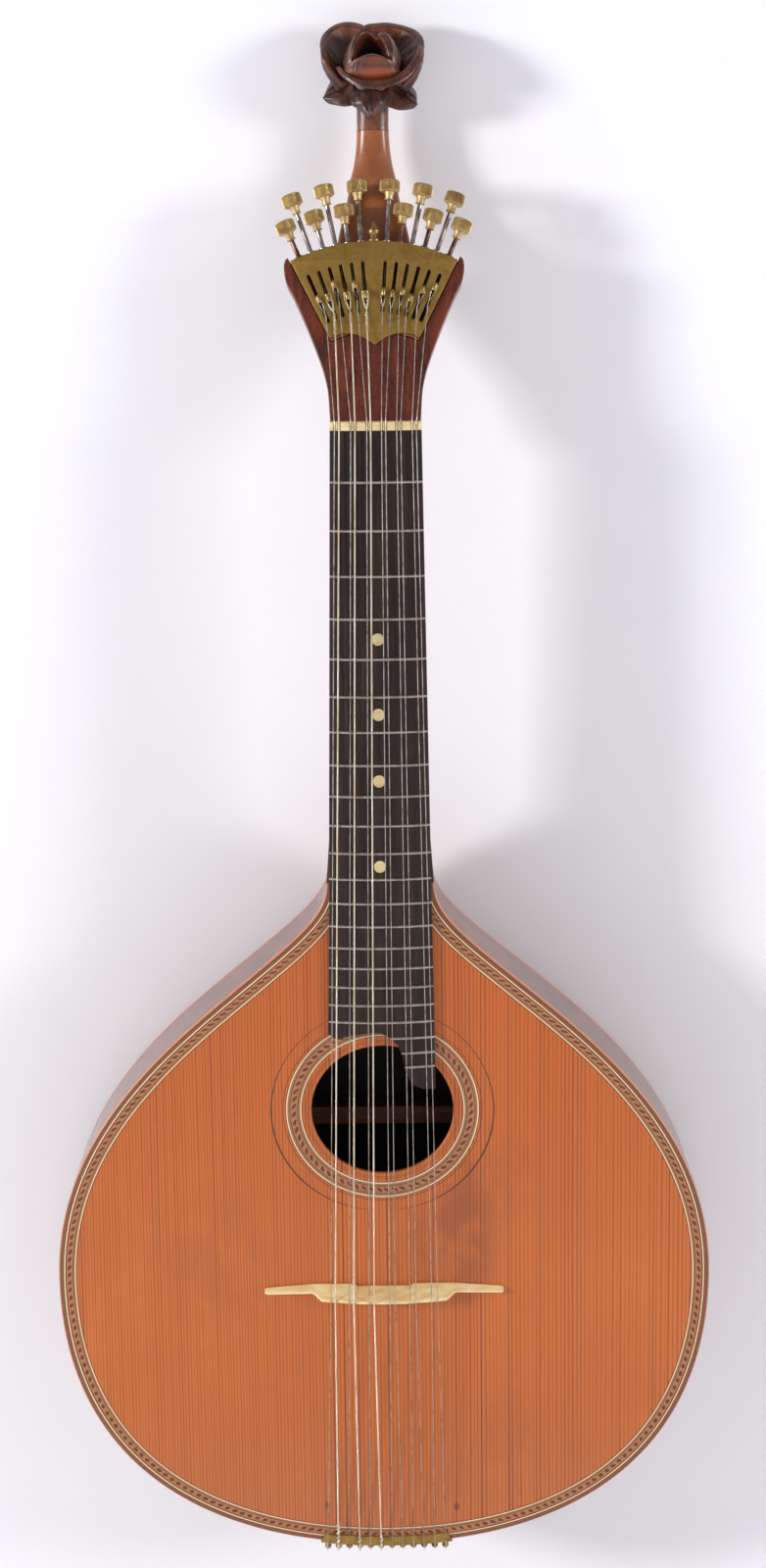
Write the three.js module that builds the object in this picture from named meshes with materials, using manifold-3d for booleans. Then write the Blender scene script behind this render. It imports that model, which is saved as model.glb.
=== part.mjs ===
// A twelve-string guitar with a pear-shaped body, a fan-shaped tuning plate and a carved rose.
// It stands upright with its soundboard facing -Y, +X on the treble side and +Z toward the head.
// Lengths are millimetres. The origin is at the nut's edge, on the plane of the soundboard's face.
import * as THREE from "three";
import { mergeVertices } from "three/addons/utils/BufferGeometryUtils.js";
import Module from "manifold-3d";

const wasm = await Module();
wasm.setup();

// Clearances
const seat = 0.3; // between pieces that touch
const overrun = 5; // how far a cutting tool runs past what it cuts
const weld = 0.001; // points closer than this are one point

// Body
const scaleLength = 470;
const bodyTop = -238;
const bodyLength = 377.2;
const bodyHalfWidth = 177;
const shoulderHalfWidth = 28.4;
const jointDepth = 50;
const tailDepth = 88;
const soundboardThickness = 2.6;
const ribThickness = 2.4;
const backThickness = 3;
const bindingWidth = 2.2;
const topBindingDepth = 5;
const backBindingDepth = 4;
const liningWidth = 6;
const liningDepth = 10;
const neckBlockLength = 24;
const tailBlockLength = 20;
const tailBlockHalfWidth = 45;
const holeCentreZ = -363.4;
const holeHalfWidth = 38.2;
const holeHalfHeight = 35.8;
const topBraceWidth = 8;
const topBraceHeight = 15;
const topBraceUpperZ = -303;
const topBraceLowerZ = -424;
const backBraceWidth = 10;
const backBraceHeight = 14;
const backBraceUpperZ = -300;
const backBraceMiddleZ = -382;
const backBraceLowerZ = -500;

// Neck and fretboard
const nutHalfWidth = 23.5;
const fretboardWidening = 4.7; // of each half, over the fretboard's bass side
const fretboardLength = 320;
const tongueLength = 31.4; // how much further the treble side runs
const fretboardThickness = 6;
const fretboardCrown = 120;
const fretWidth = 1.6;
const fretHeight = 1;
const neckNutDepth = 19;
const neckHeelDepth = 25.5;

// Nut and bridge
const nutLength = 4.5;
const nutHeight = 8;
const nutFloor = 7.25; // height of the string slots' floor at the centre
const nutSlotWidth = 1.6;
const bridgeHeadZ = -461.8;
const bridgeLength = 8.2;
const bridgeHalfSpan = 65;
const bridgeBlockHalfSpan = 37.2;
const bridgeRecessHalfSpan = 15.2;
const bridgeRecess = 1.3;
const bridgeHeight = 13;
const bridgeCrown = 125;
const wingHeight = 5.6;
const wingTipHeight = 4;
const wingHeadInset = 2.2;
const wingTailInset = 4;

// Head and stem
const headTilt = THREE.MathUtils.degToRad(12);
const headStep = 2; // the head's face lies this far behind the soundboard's plane at the nut
const headStart = 4.6;
const headThickness = 17;
const headHalfWidth = 46.2;
const headLength = 84;
const stemHalfWidth = 18.8;
const stemTop = 178;
const roseJoint = 152; // the rose and the end of the stem are one carving, glued on here

// Tuning fan. Angles and radii are taken from a centre on the head's face.
const fanCentre = -4;
const fanRadius = 95.8;
const fanHalfAngle = THREE.MathUtils.degToRad(26.6);
const fanCornerRadius = 51.3;
const fanCuspRadius = 42.4;
const fanArchAcross = 12.3;
const fanArchRadius = 52.4;
const plateThickness = 1.5;
const frameDepth = 9.5;
const frameOuter = 95.5;
const frameInner = 50;
const frameWall = 3.2;
const frameBar = 3;
const frameEdge = 0.9; // its end walls at the lower bar, wider above it
const frameHalfAngle = THREE.MathUtils.degToRad(26.4);
const tunerSpacing = THREE.MathUtils.degToRad(3.9);
const slotStart = 59;
const slotEnd = 85.5;
const slotWidth = 1.7;

// Tuners and hooks
const screwDepth = 5;
const screwRadius = 1;
const shaftRadius = 1.2;
const flangeRadius = 2.3;
const flangeThickness = 1.5;
const collarRadius = 2.4;
const collarTopRadius = 2.75;
const collarWaist = 2;
const collarRim = 0.7;
const collarLength = 4;
const knobRadius = 5.15;
const knobHeight = 6.4;
const knobChamfer = 0.8;
const shortKnob = 113.7;
const longKnob = 125.3;
const blockWidth = 3.3;
const blockDepth = 4.8;
const blockLength = 6;
const finWidth = 1.2;
const finLength = 2.4;
const hookRadius = 1.2;
const hookTail = 2.2;
const hookTip = 2.3;
const finialRadius = 3.2;
const finialLength = 11;

// Tail
const tailPlateHalfWidth = 36.3;
const tailPlateThickness = 0.8;
const tailFlange = 4.5;
const tailSkirt = 16;
const pinDepth = 8;
const pinPitch = 5.95;
const pinRadius = 1.1;
const pinHeadRadius = 1.9;
const pinHeadHeight = 2.6;
const pinReach = 6.4; // how far the pins stand out below the body

// Strings
const woundRadius = 0.5;
const loopTail = 3; // how far a string runs back beside itself after its loop

// Rose
const roseBase = 174;
const roseDepth = 16;
const roseTilt = THREE.MathUtils.degToRad(57);
const cupRadius = 27;
const cupHeight = 19;
const cupFoot = 3;
const cupFrontShare = 0.8; // the front petal stands closer to the bud than the others
const lobeDepth = 1.2; // how far the cup's rim swells and sinks round its petals
const budRadius = 14.5;
const budHeight = 23.5;
const budFoot = 7.5;
const sepalHalfWidth = 9;
const sepalHalfLength = 9.5;
const sepalThickness = 3.2;
const sepalRing = 14.5;
const sepalRise = 4.5;
const sepalDroop = 1.5;

// Counts
const tunerCount = 12;
const fretCount = 22;
const fretsPerOctave = 12;
const lowFrets = 19; // the frets that cross the whole fretboard
const pointsOnCurves = [7, 8, 12];
const holePoints = 36;
const crownSteps = 6;
const lowSides = 6;
const sides = 9;
const tunerSides = 12;
const petals = 3;
const sepals = 6;

// The treble side of the body, as shares of its half width and its length.
const sideShares = [
  [[0.1605, 0.0529], [0.2682, 0.0849], [0.5202, 0.1861]],
  [[0.7749, 0.2884], [1, 0.4088], [1, 0.5833]],
  [[1, 0.8722], [0.5612, 1], [0, 1]],
];

// The fretboard's end from its treble to its bass side, as shares of its half width and of the tongue.
const fretboardEndShares = [
  [1, 1], [0.766, 0.978], [0.578, 0.9], [0.482, 0.745], [0.433, 0.637], [0.422, 0.481], [0.362, 0.325],
  [0.27, 0.15], [0.103, 0.025], [-0.043, -0.029], [-0.277, -0.029], [-0.582, 0.025], [-0.865, 0.092],
];

// The neck from the body to the nut: how far along, its depth between nut and joint, and its roundness,
// where 0 is a rectangle and 1 an ellipse.
const shaftShares = [
  [0, 1, 0.25],
  [0.018, 0.985, 0.33],
  [0.05, 0.88, 0.5],
  [0.1, 0.58, 0.67],
  [0.15, 0.34, 0.83],
  [0.2, 0.21, 0.91],
  [0.6, 0.1, 0.95],
  [0.97, 0.01, 0.95],
  [1, 0, 0.95],
];
const stemRoundShare = 0.77;

// The head's cheek, as shares of its half width and its length.
const cheekShares = [
  [0.502, -0.04], [0.506, 0.02], [0.541, 0.238], [0.671, 0.464], [0.866, 0.726], [0.972, 0.845],
  [1, 0.925], [0.99, 0.975], [0.955, 0.995], [0.9, 0.985], [0.75, 1], [0.6, 1.03], [0.44, 1.05],
];

// The stem: how far up, its half width, and its front and back as shares of the head's thickness.
const stemShares = [
  [0.489, 1.06, 0.64, 1],
  [0.556, 0.95, 0.68, 1.18],
  [0.607, 0.84, 0.76, 1.41],
  [0.657, 0.73, 0.84, 1.6],
  [0.713, 0.645, 0.87, 1.69],
  [0.758, 0.545, 0.86, 1.7],
  [0.803, 0.478, 0.82, 1.68],
  [0.854, 0.442, 0.72, 1.6],
  [0.91, 0.44, 0.58, 1.45],
  [0.955, 0.455, 0.46, 1.3],
  [1, 0.42, 0.38, 1.15],
];

// The bridge's section from its tail edge to its head edge, as shares of its length and height.
const bridgeShares = [
  [0, 0], [1, 0], [1, 0.16], [0.27, 1], [0.12, 1], [0, 0.75],
];

// Where the strings cross the nut and the bridge, as shares of half their spread.
const nutStringShares = [-1, -0.886, -0.605, -0.5, -0.214, -0.119, 0.143, 0.243, 0.51, 0.61, 0.886, 0.99];
const bridgeStringShares = [-1, -0.917, -0.657, -0.571, -0.284, -0.19, 0.1, 0.204, 0.481, 0.592, 0.886, 1];
const nutStringSpread = 21;
const bridgeStringSpread = 28.9;

// Each string's radius as a share of a wound one's, and where each hook rests along its slot.
const stringShares = [0.6, 1, 0.6, 1, 0.6, 1, 0.6, 0.6, 0.6, 0.6, 0.6, 0.6];
const hookShares = [0.468, 0.426, 0.638, 0.366, 0.551, 0.336, 0.385, 0.366, 0.434, 0.351, 0.57, 0.709];

// The finial, a hook's tip and a pin's head, as shares of each one's radius and length.
const finialShares = [
  [0, 0], [0.95, 0], [0.95, 0.17], [0.6, 0.25], [0.6, 0.3], [0.85, 0.42], [1, 0.55], [0.97, 0.6],
  [0.66, 0.645], [0.42, 0.76], [0.24, 0.93], [0.12, 1], [0, 1],
];
const tipShares = [[0, -1], [0.85, -1], [1, -0.6], [1, 0.2], [0.6, 0.8], [0, 1]];
const pinShares = [[0, 0], [0.7, 0.08], [1, 0.4], [1, 0.7]];

// The cup of petals and the bud in it, open at its top, as shares of each one's radius and height.
const cupShares = [
  [0, -0.2], [0.33, -0.12], [0.48, 0.03], [0.76, 0.25], [0.93, 0.6], [1, 0.95], [0.95, 1], [0.88, 0.94],
  [0.8, 0.7], [0.62, 0.45], [0, 0.4],
];
const budShares = [
  [0, 0], [0.4, 0], [0.9, 0.22], [1, 0.5], [0.86, 0.78], [0.55, 0.97], [0.38, 1], [0.3, 0.8], [0, 0.72],
];
const sepalPointShare = 0.75;

// A brace's outline, as shares of its half length and its height.
const braceShares = [
  [-1, 0], [1, 0], [1, 0.35], [0.72, 1], [-0.72, 1], [-1, 0.35],
];

// Colours
const spruce = [0xbd7044, 0.42, 0];
const walnut = [0x6b3a24, 0.5, 0];
const paleWood = [0xc9a274, 0.7, 0];
const ebony = [0x3f3735, 0.55, 0];
const bone = [0xe8d9ae, 0.4, 0];
const brass = [0x8c6b40, 0.38, 1];
const brightBrass = [0xc59a4a, 0.3, 1];
const steel = [0xb9bcc0, 0.3, 1];
const silver = [0xd6d4cc, 0.35, 1];
const darkBinding = [0x4a2a20, 0.45, 0];

// Solids

// A closed geometry as a solid.
function solidOf(geometry) {
  const bare = geometry.index ? geometry.toNonIndexed() : geometry.clone();
  bare.deleteAttribute("normal");
  bare.deleteAttribute("uv");
  const merged = mergeVertices(bare, weld);
  const vertProperties = merged.getAttribute("position").array;
  const triVerts = new Uint32Array(merged.index.array);
  return new wasm.Manifold(new wasm.Mesh({ numProp: 3, vertProperties, triVerts }));
}

// A solid as a geometry.
function geometryOf(solid) {
  const { vertProperties, triVerts } = solid.getMesh();
  const geometry = new THREE.BufferGeometry();
  geometry.setAttribute("position", new THREE.BufferAttribute(vertProperties, 3));
  geometry.setIndex(new THREE.BufferAttribute(triVerts, 1));
  geometry.computeVertexNormals();
  return geometry;
}

function join(...pieces) {
  return geometryOf(pieces.map(solidOf).reduce((sum, piece) => sum.add(piece)));
}

function cut(piece, ...tools) {
  return geometryOf(tools.map(solidOf).reduce((left, tool) => left.subtract(tool), solidOf(piece)));
}

function common(piece, region) {
  return geometryOf(solidOf(piece).intersect(solidOf(region)));
}

// Moves every point of a geometry to where the function puts it.
function reshape(geometry, place) {
  const position = geometry.getAttribute("position");
  const point = new THREE.Vector3();
  for (let i = 0; i < position.count; i++) {
    point.fromBufferAttribute(position, i);
    position.setXYZ(i, ...place(point.x, point.y, point.z));
  }
  geometry.computeVertexNormals();
  return geometry;
}

// A box between two corners.
function box(x0, x1, y0, y1, z0, z1) {
  const geometry = new THREE.BoxGeometry(x1 - x0, y1 - y0, z1 - z0);
  return geometry.translate((x0 + x1) / 2, (y0 + y1) / 2, (z0 + z1) / 2);
}

// An outline in x and z, filled from the front surface to the back one, each a function of z.
function prism(shape, front, back, curveSegments = 1) {
  const geometry = new THREE.ExtrudeGeometry(shape, { depth: 1, bevelEnabled: false, curveSegments });
  return reshape(geometry, (x, z, share) => [x, back(z) + (front(z) - back(z)) * share, z]);
}

// A unit section swept through numbered stations.
function loft(points, stations, place) {
  const steps = stations.length - 1;
  const shape = new THREE.Shape(points);
  const geometry = new THREE.ExtrudeGeometry(shape, { depth: 1, steps, bevelEnabled: false });
  return reshape(geometry, (a, b, share) => place(a, b, stations[Math.round(share * steps)]));
}

// A turned piece whose profile gives radius and height above the origin, along +Z.
function turned(profile, segments) {
  const points = profile.map(([radius, height]) => new THREE.Vector2(radius, height));
  return new THREE.LatheGeometry(points, segments).rotateX(Math.PI / 2);
}

// A circle's points, or part of one.
function ring(radius, count, start = 0, turn = 2 * Math.PI) {
  const last = turn === 2 * Math.PI ? count : count - 1;
  return Array.from({ length: count }, (_, i) => {
    const angle = start + (turn * i) / last;
    return new THREE.Vector2(radius * Math.cos(angle), radius * Math.sin(angle));
  });
}

// A surface at one depth.
const level = (y) => () => y;

// The back's outer face, at its depth less an offset.
const backSlope = (tailDepth - jointDepth) / bodyLength;
const inBack = (offset) => (z) => jointDepth + backSlope * (bodyTop - z) - offset;

// A circle's coordinate moved toward a square's, which a roundness of 0 reaches.
const squared = (value, roundness) => Math.sign(value) * Math.abs(value) ** roundness;

// How far a crowned surface falls at a distance from its middle.
const drop = (x, radius) => radius - Math.sqrt(radius ** 2 - x ** 2);

const root = new THREE.Group();

// A named piece in a group, with its own material.
function piece(name, geometry, [color, roughness, metalness], group = root) {
  const mesh = new THREE.Mesh(geometry, new THREE.MeshStandardMaterial({ color, roughness, metalness }));
  mesh.name = name;
  group.add(mesh);
  return mesh;
}

// Body outline

const sideCurves = [];
let corner = new THREE.Vector2(shoulderHalfWidth, bodyTop);
for (const segment of sideShares) {
  const [first, second, last] = segment.map(
    ([across, down]) => new THREE.Vector2(bodyHalfWidth * across, bodyTop - bodyLength * down),
  );
  sideCurves.push(new THREE.CubicBezierCurve(corner, first, second, last));
  corner = last;
}

// The treble side from the neck to the tail, moved inward.
function side(inset) {
  const points = [];
  sideCurves.forEach((curve, k) => {
    const count = pointsOnCurves[k];
    for (let i = k ? 1 : 0; i <= count; i++) {
      const point = curve.getPoint(i / count);
      const along = curve.getTangent(i / count);
      points.push(new THREE.Vector2(point.x + inset * along.y, point.y - inset * along.x));
    }
  });
  points[0].y = bodyTop - seat;
  return points;
}

const mirrored = (points) => points.map((point) => new THREE.Vector2(-point.x, point.y)).reverse();

// The whole outline, moved inward.
function outline(inset) {
  const treble = side(inset);
  return [...treble.slice(0, -1), ...mirrored(treble)];
}

// A strip along the outline from neck round the tail to neck.
function band(outer, inner) {
  return new THREE.Shape([...outline(outer), ...outline(inner).reverse()]);
}

// A strip along one side only, stopping short of the centre line.
function halfBand(outer, inner) {
  const outside = side(outer);
  const inside = side(inner);
  outside.at(-1).x = seat / 2;
  inside.at(-1).x = seat / 2;
  return new THREE.Shape([...outside, ...inside.reverse()]);
}

// Body pieces

const plateInset = bindingWidth + seat;
const liningInset = ribThickness + seat;
const liningInner = liningInset + liningWidth;
const liningTopFront = soundboardThickness + seat;
const liningTopBack = liningTopFront + liningDepth;
const liningBackEnd = backThickness + seat;
const liningBackStart = liningBackEnd + liningDepth;

const soundboardShape = new THREE.Shape(outline(plateInset));
const holeEdge = ring(1, holePoints).map(
  ({ x, y }) => new THREE.Vector2(x * holeHalfWidth, holeCentreZ + y * holeHalfHeight),
);
soundboardShape.holes.push(new THREE.Path(holeEdge));
piece("soundboard", prism(soundboardShape, level(0), level(soundboardThickness)), spruce);

const backShape = new THREE.Shape(outline(plateInset));
piece("back_plate", prism(backShape, inBack(backThickness), inBack(0)), walnut);

const ribFront = level(topBindingDepth + seat);
const ribBack = inBack(backBindingDepth + seat);
const trebleRib = prism(halfBand(0, ribThickness), ribFront, ribBack);
piece("rib_treble_side", trebleRib, walnut);
const bassShape = new THREE.Shape(mirrored(halfBand(0, ribThickness).getPoints()));
piece("rib_bass_side", prism(bassShape, ribFront, ribBack), walnut);

piece("top_binding", prism(band(0, bindingWidth), level(0), level(topBindingDepth)), darkBinding);
piece("back_binding", prism(band(0, bindingWidth), inBack(backBindingDepth), inBack(0)), darkBinding);

const liningShape = band(liningInset, liningInner);
piece("lining_top", prism(liningShape, level(liningTopFront), level(liningTopBack)), paleWood);
piece("lining_back", prism(liningShape, inBack(liningBackStart), inBack(liningBackEnd)), paleWood);

// The blocks fill the body from soundboard to back and are notched round the linings.
const reliefShape = band(liningInset - overrun, liningInner + seat);
const topRelief = prism(reliefShape, level(-overrun), level(liningTopBack + seat));
const backRelief = prism(reliefShape, inBack(liningBackStart + seat), inBack(-overrun));
const insideShape = new THREE.Shape(outline(liningInset));
const inside = prism(insideShape, level(liningTopFront), inBack(liningBackEnd));
const neckBlockEnd = bodyTop - neckBlockLength;
const neckBlockRegion = box(
  -bodyHalfWidth, bodyHalfWidth, -overrun, tailDepth + overrun, neckBlockEnd, bodyTop,
);
piece("neck_block", cut(common(inside, neckBlockRegion), topRelief, backRelief), paleWood);
const bodyTail = bodyTop - bodyLength;
const tailBlockRegion = box(
  -tailBlockHalfWidth, tailBlockHalfWidth, -overrun, tailDepth + overrun,
  bodyTail - overrun, bodyTail + liningInset + tailBlockLength,
);
piece("tail_block", cut(common(inside, tailBlockRegion), topRelief, backRelief), paleWood);

// The inside half width of an outline at a height.
function halfWidthAt(z, inset) {
  const points = side(inset);
  const i = points.findIndex((point) => point.y <= z);
  const share = (z - points[i - 1].y) / (points[i].y - points[i - 1].y);
  return points[i - 1].x + (points[i].x - points[i - 1].x) * share;
}

// A brace right across the body, glued by its foot and lower at its ends. It rises by way from the foot.
function brace(z, width, height, foot, way) {
  const reach = Math.min(
    halfWidthAt(z + width / 2, liningInner + seat), halfWidthAt(z - width / 2, liningInner + seat),
  );
  const profile = braceShares.map(([x, rise]) => new THREE.Vector2(x * reach, rise * height));
  const bar = new THREE.ExtrudeGeometry(new THREE.Shape(profile), { depth: 1, bevelEnabled: false });
  return reshape(bar, (x, rise, share) => {
    const along = z + way * width * (share - 1 / 2);
    return [x, foot(along) + way * rise, along];
  });
}

const topFoot = level(liningTopFront);
const backFoot = inBack(liningBackEnd);
piece("top_brace_upper", brace(topBraceUpperZ, topBraceWidth, topBraceHeight, topFoot, 1), paleWood);
piece("top_brace_lower", brace(topBraceLowerZ, topBraceWidth, topBraceHeight, topFoot, 1), paleWood);
const backBrace = (z) => brace(z, backBraceWidth, backBraceHeight, backFoot, -1);
piece("back_brace_upper", backBrace(backBraceUpperZ), paleWood);
piece("back_brace_middle", backBrace(backBraceMiddleZ), paleWood);
piece("back_brace_lower", backBrace(backBraceLowerZ), paleWood);

// Head frame: z runs up the head's face, y goes into the wood.
const head = new THREE.Group();
head.position.set(0, headStep, headStart);
head.rotation.x = -headTilt;
head.updateMatrix();
root.add(head);

// Fan frame: its origin is where the screws' lines meet.
const fan = new THREE.Group();
fan.position.z = fanCentre;
fan.updateMatrix();
head.add(fan);

// A sector's outline between two radii, in x and z of the fan frame.
function sector(inner, outer, halfAngle) {
  const shape = new THREE.Shape();
  const up = Math.PI / 2;
  shape.absarc(0, 0, outer, up - halfAngle, up + halfAngle, false);
  shape.absarc(0, 0, inner, up + halfAngle, up - halfAngle, true);
  return shape;
}

// Neck, heel and head

const fretboardHalfWidth = (z) => nutHalfWidth - (fretboardWidening * z) / fretboardLength;
const halfDisc = ring(1, sides + 3, 0, Math.PI);
const shaft = loft(halfDisc, shaftShares, (a, b, [along, deep, roundness]) => {
  const z = bodyTop + (headStart - bodyTop) * along;
  const flare = 1 - Math.min(1, along / shaftShares[3][0]);
  const halfWidth = fretboardHalfWidth(z) + (shoulderHalfWidth - fretboardHalfWidth(bodyTop)) * flare;
  const depth = along > shaftShares[5][0]
    ? neckNutDepth + ((neckHeelDepth - neckNutDepth) * (1 - along)) / (1 - shaftShares[5][0])
    : neckHeelDepth + ((jointDepth - neckHeelDepth) * (deep - shaftShares[5][1])) / (1 - shaftShares[5][1]);
  return [halfWidth * squared(a, roundness), depth * squared(b, roundness), z];
});

const cheek = new THREE.SplineCurve(
  cheekShares.map(([across, along]) => new THREE.Vector2(across * headHalfWidth, along * headLength)),
).getPoints(2 * cheekShares.length);
const headPlate = prism(new THREE.Shape([...cheek, ...mirrored(cheek)]), level(0), level(headThickness));
const stem = loft(ring(1, sides + 4), stemShares, (a, b, [along, across, front, back]) => [
  stemHalfWidth * across * squared(a, stemRoundShare),
  (headThickness * (front + back + (back - front) * squared(b, stemRoundShare))) / 2,
  stemTop * along,
]);
const pocketShape = sector(frameInner - seat, longKnob, frameHalfAngle + seat / frameInner);
const knobRoom = screwDepth + knobRadius + seat;
const pocket = prism(pocketShape, level(-overrun), level(Math.max(frameDepth + seat, knobRoom)), sides + 2);
pocket.applyMatrix4(fan.matrix);
const beyondJoint = box(
  -bodyHalfWidth, bodyHalfWidth, -bodyHalfWidth, bodyHalfWidth, roseJoint, stemTop + overrun,
);
const headWood = cut(join(headPlate, stem), pocket, beyondJoint).applyMatrix4(head.matrix);
piece("neck", join(shaft, headWood), walnut);

// A bar whose top is crowned across the strings and whose foot is flat.
function crowned(height, foot, halfWidth, radius, z, length) {
  const points = Array.from({ length: crownSteps + 1 }, (_, i) => {
    const x = THREE.MathUtils.lerp(-halfWidth, halfWidth, i / crownSteps);
    return new THREE.Vector2(x, drop(x, radius) - height);
  });
  points.push(new THREE.Vector2(halfWidth, -foot), new THREE.Vector2(-halfWidth, -foot));
  const bar = new THREE.ExtrudeGeometry(new THREE.Shape(points), { depth: length, bevelEnabled: false });
  return bar.translate(0, 0, z);
}

const fretboardEnd = fretboardLength + tongueLength;
const endHalfWidth = fretboardHalfWidth(-fretboardEnd);
const topHeight = fretboardThickness + fretHeight;
const plan = fretboardEndShares.map(
  ([across, along]) => new THREE.Vector2(across * endHalfWidth, -fretboardLength - tongueLength * along),
);
plan.push(
  new THREE.Vector2(-fretboardHalfWidth(-fretboardLength), -fretboardLength),
  new THREE.Vector2(-nutHalfWidth, -seat),
  new THREE.Vector2(nutHalfWidth, -seat),
);
const fretboardRoom = prism(new THREE.Shape(plan.reverse()), level(-topHeight - overrun), level(-seat));
const boardLength = fretboardEnd + seat;
const boardBlank = crowned(
  fretboardThickness, 0, endHalfWidth + seat, fretboardCrown, -boardLength, boardLength,
);
const fretFoot = fretboardThickness / 3;
const fretBars = Array.from({ length: fretCount }, (_, i) => {
  const z = -scaleLength * (1 - 2 ** (-(i + 1) / fretsPerOctave));
  const bar = crowned(topHeight, 0, endHalfWidth + seat, fretboardCrown, z - fretWidth / 2, fretWidth);
  const trebleHalf = box(0, bodyHalfWidth, -topHeight, -fretFoot + seat, z - overrun, 0);
  return i < lowFrets ? bar : common(bar, trebleHalf);
});
piece("fretboard", common(join(boardBlank, ...fretBars), fretboardRoom), ebony);

// Strings and nut

const stringX = (shares, spread, i) => shares[i] * spread;
const nutSlots = nutStringShares.map((_, i) => {
  const x = stringX(nutStringShares, nutStringSpread, i);
  const floor = drop(x, fretboardCrown) - nutFloor;
  return box(
    x - nutSlotWidth / 2, x + nutSlotWidth / 2, -nutHeight - overrun, floor, -overrun, nutLength + overrun,
  );
});
const nutBlank = crowned(nutHeight, seat, nutHalfWidth, fretboardCrown, 0, nutLength);
piece("nut", cut(nutBlank, ...nutSlots), bone);

// The bridge: a low wing each side of a crowned block whose face slopes up from the head side.
const blockAt = (x) => bridgeHeight - drop(x, bridgeCrown);
const blockMiddle = (bridgeBlockHalfSpan + bridgeRecessHalfSpan) / 2;
const half = [
  [bridgeHalfSpan, wingTipHeight, 1, 1],
  [(bridgeHalfSpan + bridgeBlockHalfSpan) / 2, (wingHeight + wingTipHeight) / 2, 1 / 2, 1],
  [bridgeBlockHalfSpan + seat, wingHeight, 0, 1],
  [bridgeBlockHalfSpan - seat, blockAt(bridgeBlockHalfSpan), 0, 0],
  [blockMiddle, blockAt(blockMiddle), 0, 0],
  [bridgeRecessHalfSpan + seat, blockAt(bridgeRecessHalfSpan), 0, 0],
  [bridgeRecessHalfSpan - seat, blockAt(bridgeRecessHalfSpan), bridgeRecess / wingHeadInset, 0],
  [bridgeRecessHalfSpan / 2, blockAt(bridgeRecessHalfSpan / 2), bridgeRecess / wingHeadInset, 0],
];
const middle = [0, bridgeHeight, bridgeRecess / wingHeadInset, 0];
const mirrorHalf = half.map(([x, ...rest]) => [-x, ...rest]);
const stations = [...mirrorHalf, middle, ...half.reverse()];
const bridgeSection = bridgeShares.map(([along, up]) => new THREE.Vector2(along, up));
const bridgeTail = bridgeHeadZ - bridgeLength;
const bridge = loft(bridgeSection, stations, (along, up, [x, height, headInset, tailInset]) => {
  const tail = bridgeTail + tailInset * wingTailInset;
  const headSide = bridgeHeadZ - headInset * wingHeadInset;
  return [x, -seat - up * (height - seat), tail + along * (headSide - tail)];
});
piece("bridge", bridge, bone);

// Tuning fan

const up = Math.PI / 2;
const fanCorner = new THREE.Vector2(
  fanCornerRadius * Math.sin(fanHalfAngle), fanCornerRadius * Math.cos(fanHalfAngle),
);
const plateEdge = new THREE.Shape();
plateEdge.absarc(0, 0, fanRadius, up - fanHalfAngle, up + fanHalfAngle, false);
plateEdge.lineTo(-fanCorner.x, fanCorner.y);
plateEdge.quadraticCurveTo(-fanArchAcross, fanArchRadius, 0, fanCuspRadius);
plateEdge.quadraticCurveTo(fanArchAcross, fanArchRadius, fanCorner.x, fanCorner.y);
const plateShape = new THREE.Shape(plateEdge.getPoints(sides));

// Tuners are counted from the bass side and share their angles with the slots and hooks.
const tunerAngle = (i) => {
  const place = i - tunerCount / 2;
  return tunerSpacing * (place < 0 ? place : place + 1);
};

const hookRest = (i) => THREE.MathUtils.lerp(slotStart, slotEnd, hookShares[i]);

for (let i = 0; i < tunerCount; i++) {
  const angle = tunerAngle(i);
  const slot = new THREE.Path();
  const ends = [[slotEnd - slotWidth / 2, -angle], [slotStart + slotWidth / 2, Math.PI - angle]];
  for (const [radius, turn] of ends) {
    const x = radius * Math.sin(angle);
    const z = radius * Math.cos(angle);
    slot.absarc(x, z, slotWidth / 2, turn, turn + Math.PI, false);
  }
  plateShape.holes.push(new THREE.Path(slot.getPoints(2)));
}
piece("fan_plate", prism(plateShape, level(-seat - plateThickness), level(-seat)), brass, fan);

const frameShape = new THREE.Shape(sector(frameInner, frameOuter, frameHalfAngle).getPoints(sides));
const frameRoom = sector(
  frameInner + frameBar, frameOuter - frameWall, frameHalfAngle - frameEdge / frameInner,
);
frameShape.holes.push(new THREE.Path(frameRoom.getPoints(sides)));
const frameBlank = prism(frameShape, level(0), level(frameDepth));

// A round bar with flat sides that clear a radius, along +Z between two heights.
function bore(radius, from, to) {
  const reach = radius / Math.cos(Math.PI / lowSides);
  const bar = new THREE.CylinderGeometry(reach, reach, to - from, lowSides);
  return bar.rotateX(Math.PI / 2).translate(0, 0, (from + to) / 2);
}

const frameBores = Array.from({ length: tunerCount }, (_, i) =>
  bore(screwRadius + seat, frameOuter - frameWall - overrun, frameOuter + overrun)
    .translate(0, screwDepth, 0)
    .rotateY(tunerAngle(i)),
);
piece("fan_frame", cut(frameBlank, ...frameBores), brass, fan);

// Each profile gives radius and height.
const finialFoot = frameOuter + seat;
const finial = finialShares.map(
  ([across, along]) => [across * finialRadius, finialFoot + along * finialLength],
);
piece("fan_finial", turned(finial, sides).translate(0, frameDepth / 2, 0), brightBrass, fan);

const screwStart = frameInner + frameBar + seat;
const flangeStart = frameOuter + seat;
const flangeEnd = flangeStart + flangeThickness;
const plateFace = -screwDepth - seat - plateThickness;
const loopFace = plateFace - seat - woundRadius;
const hookFace = loopFace - woundRadius - seat - hookRadius;
const tunerGroups = [];

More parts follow.
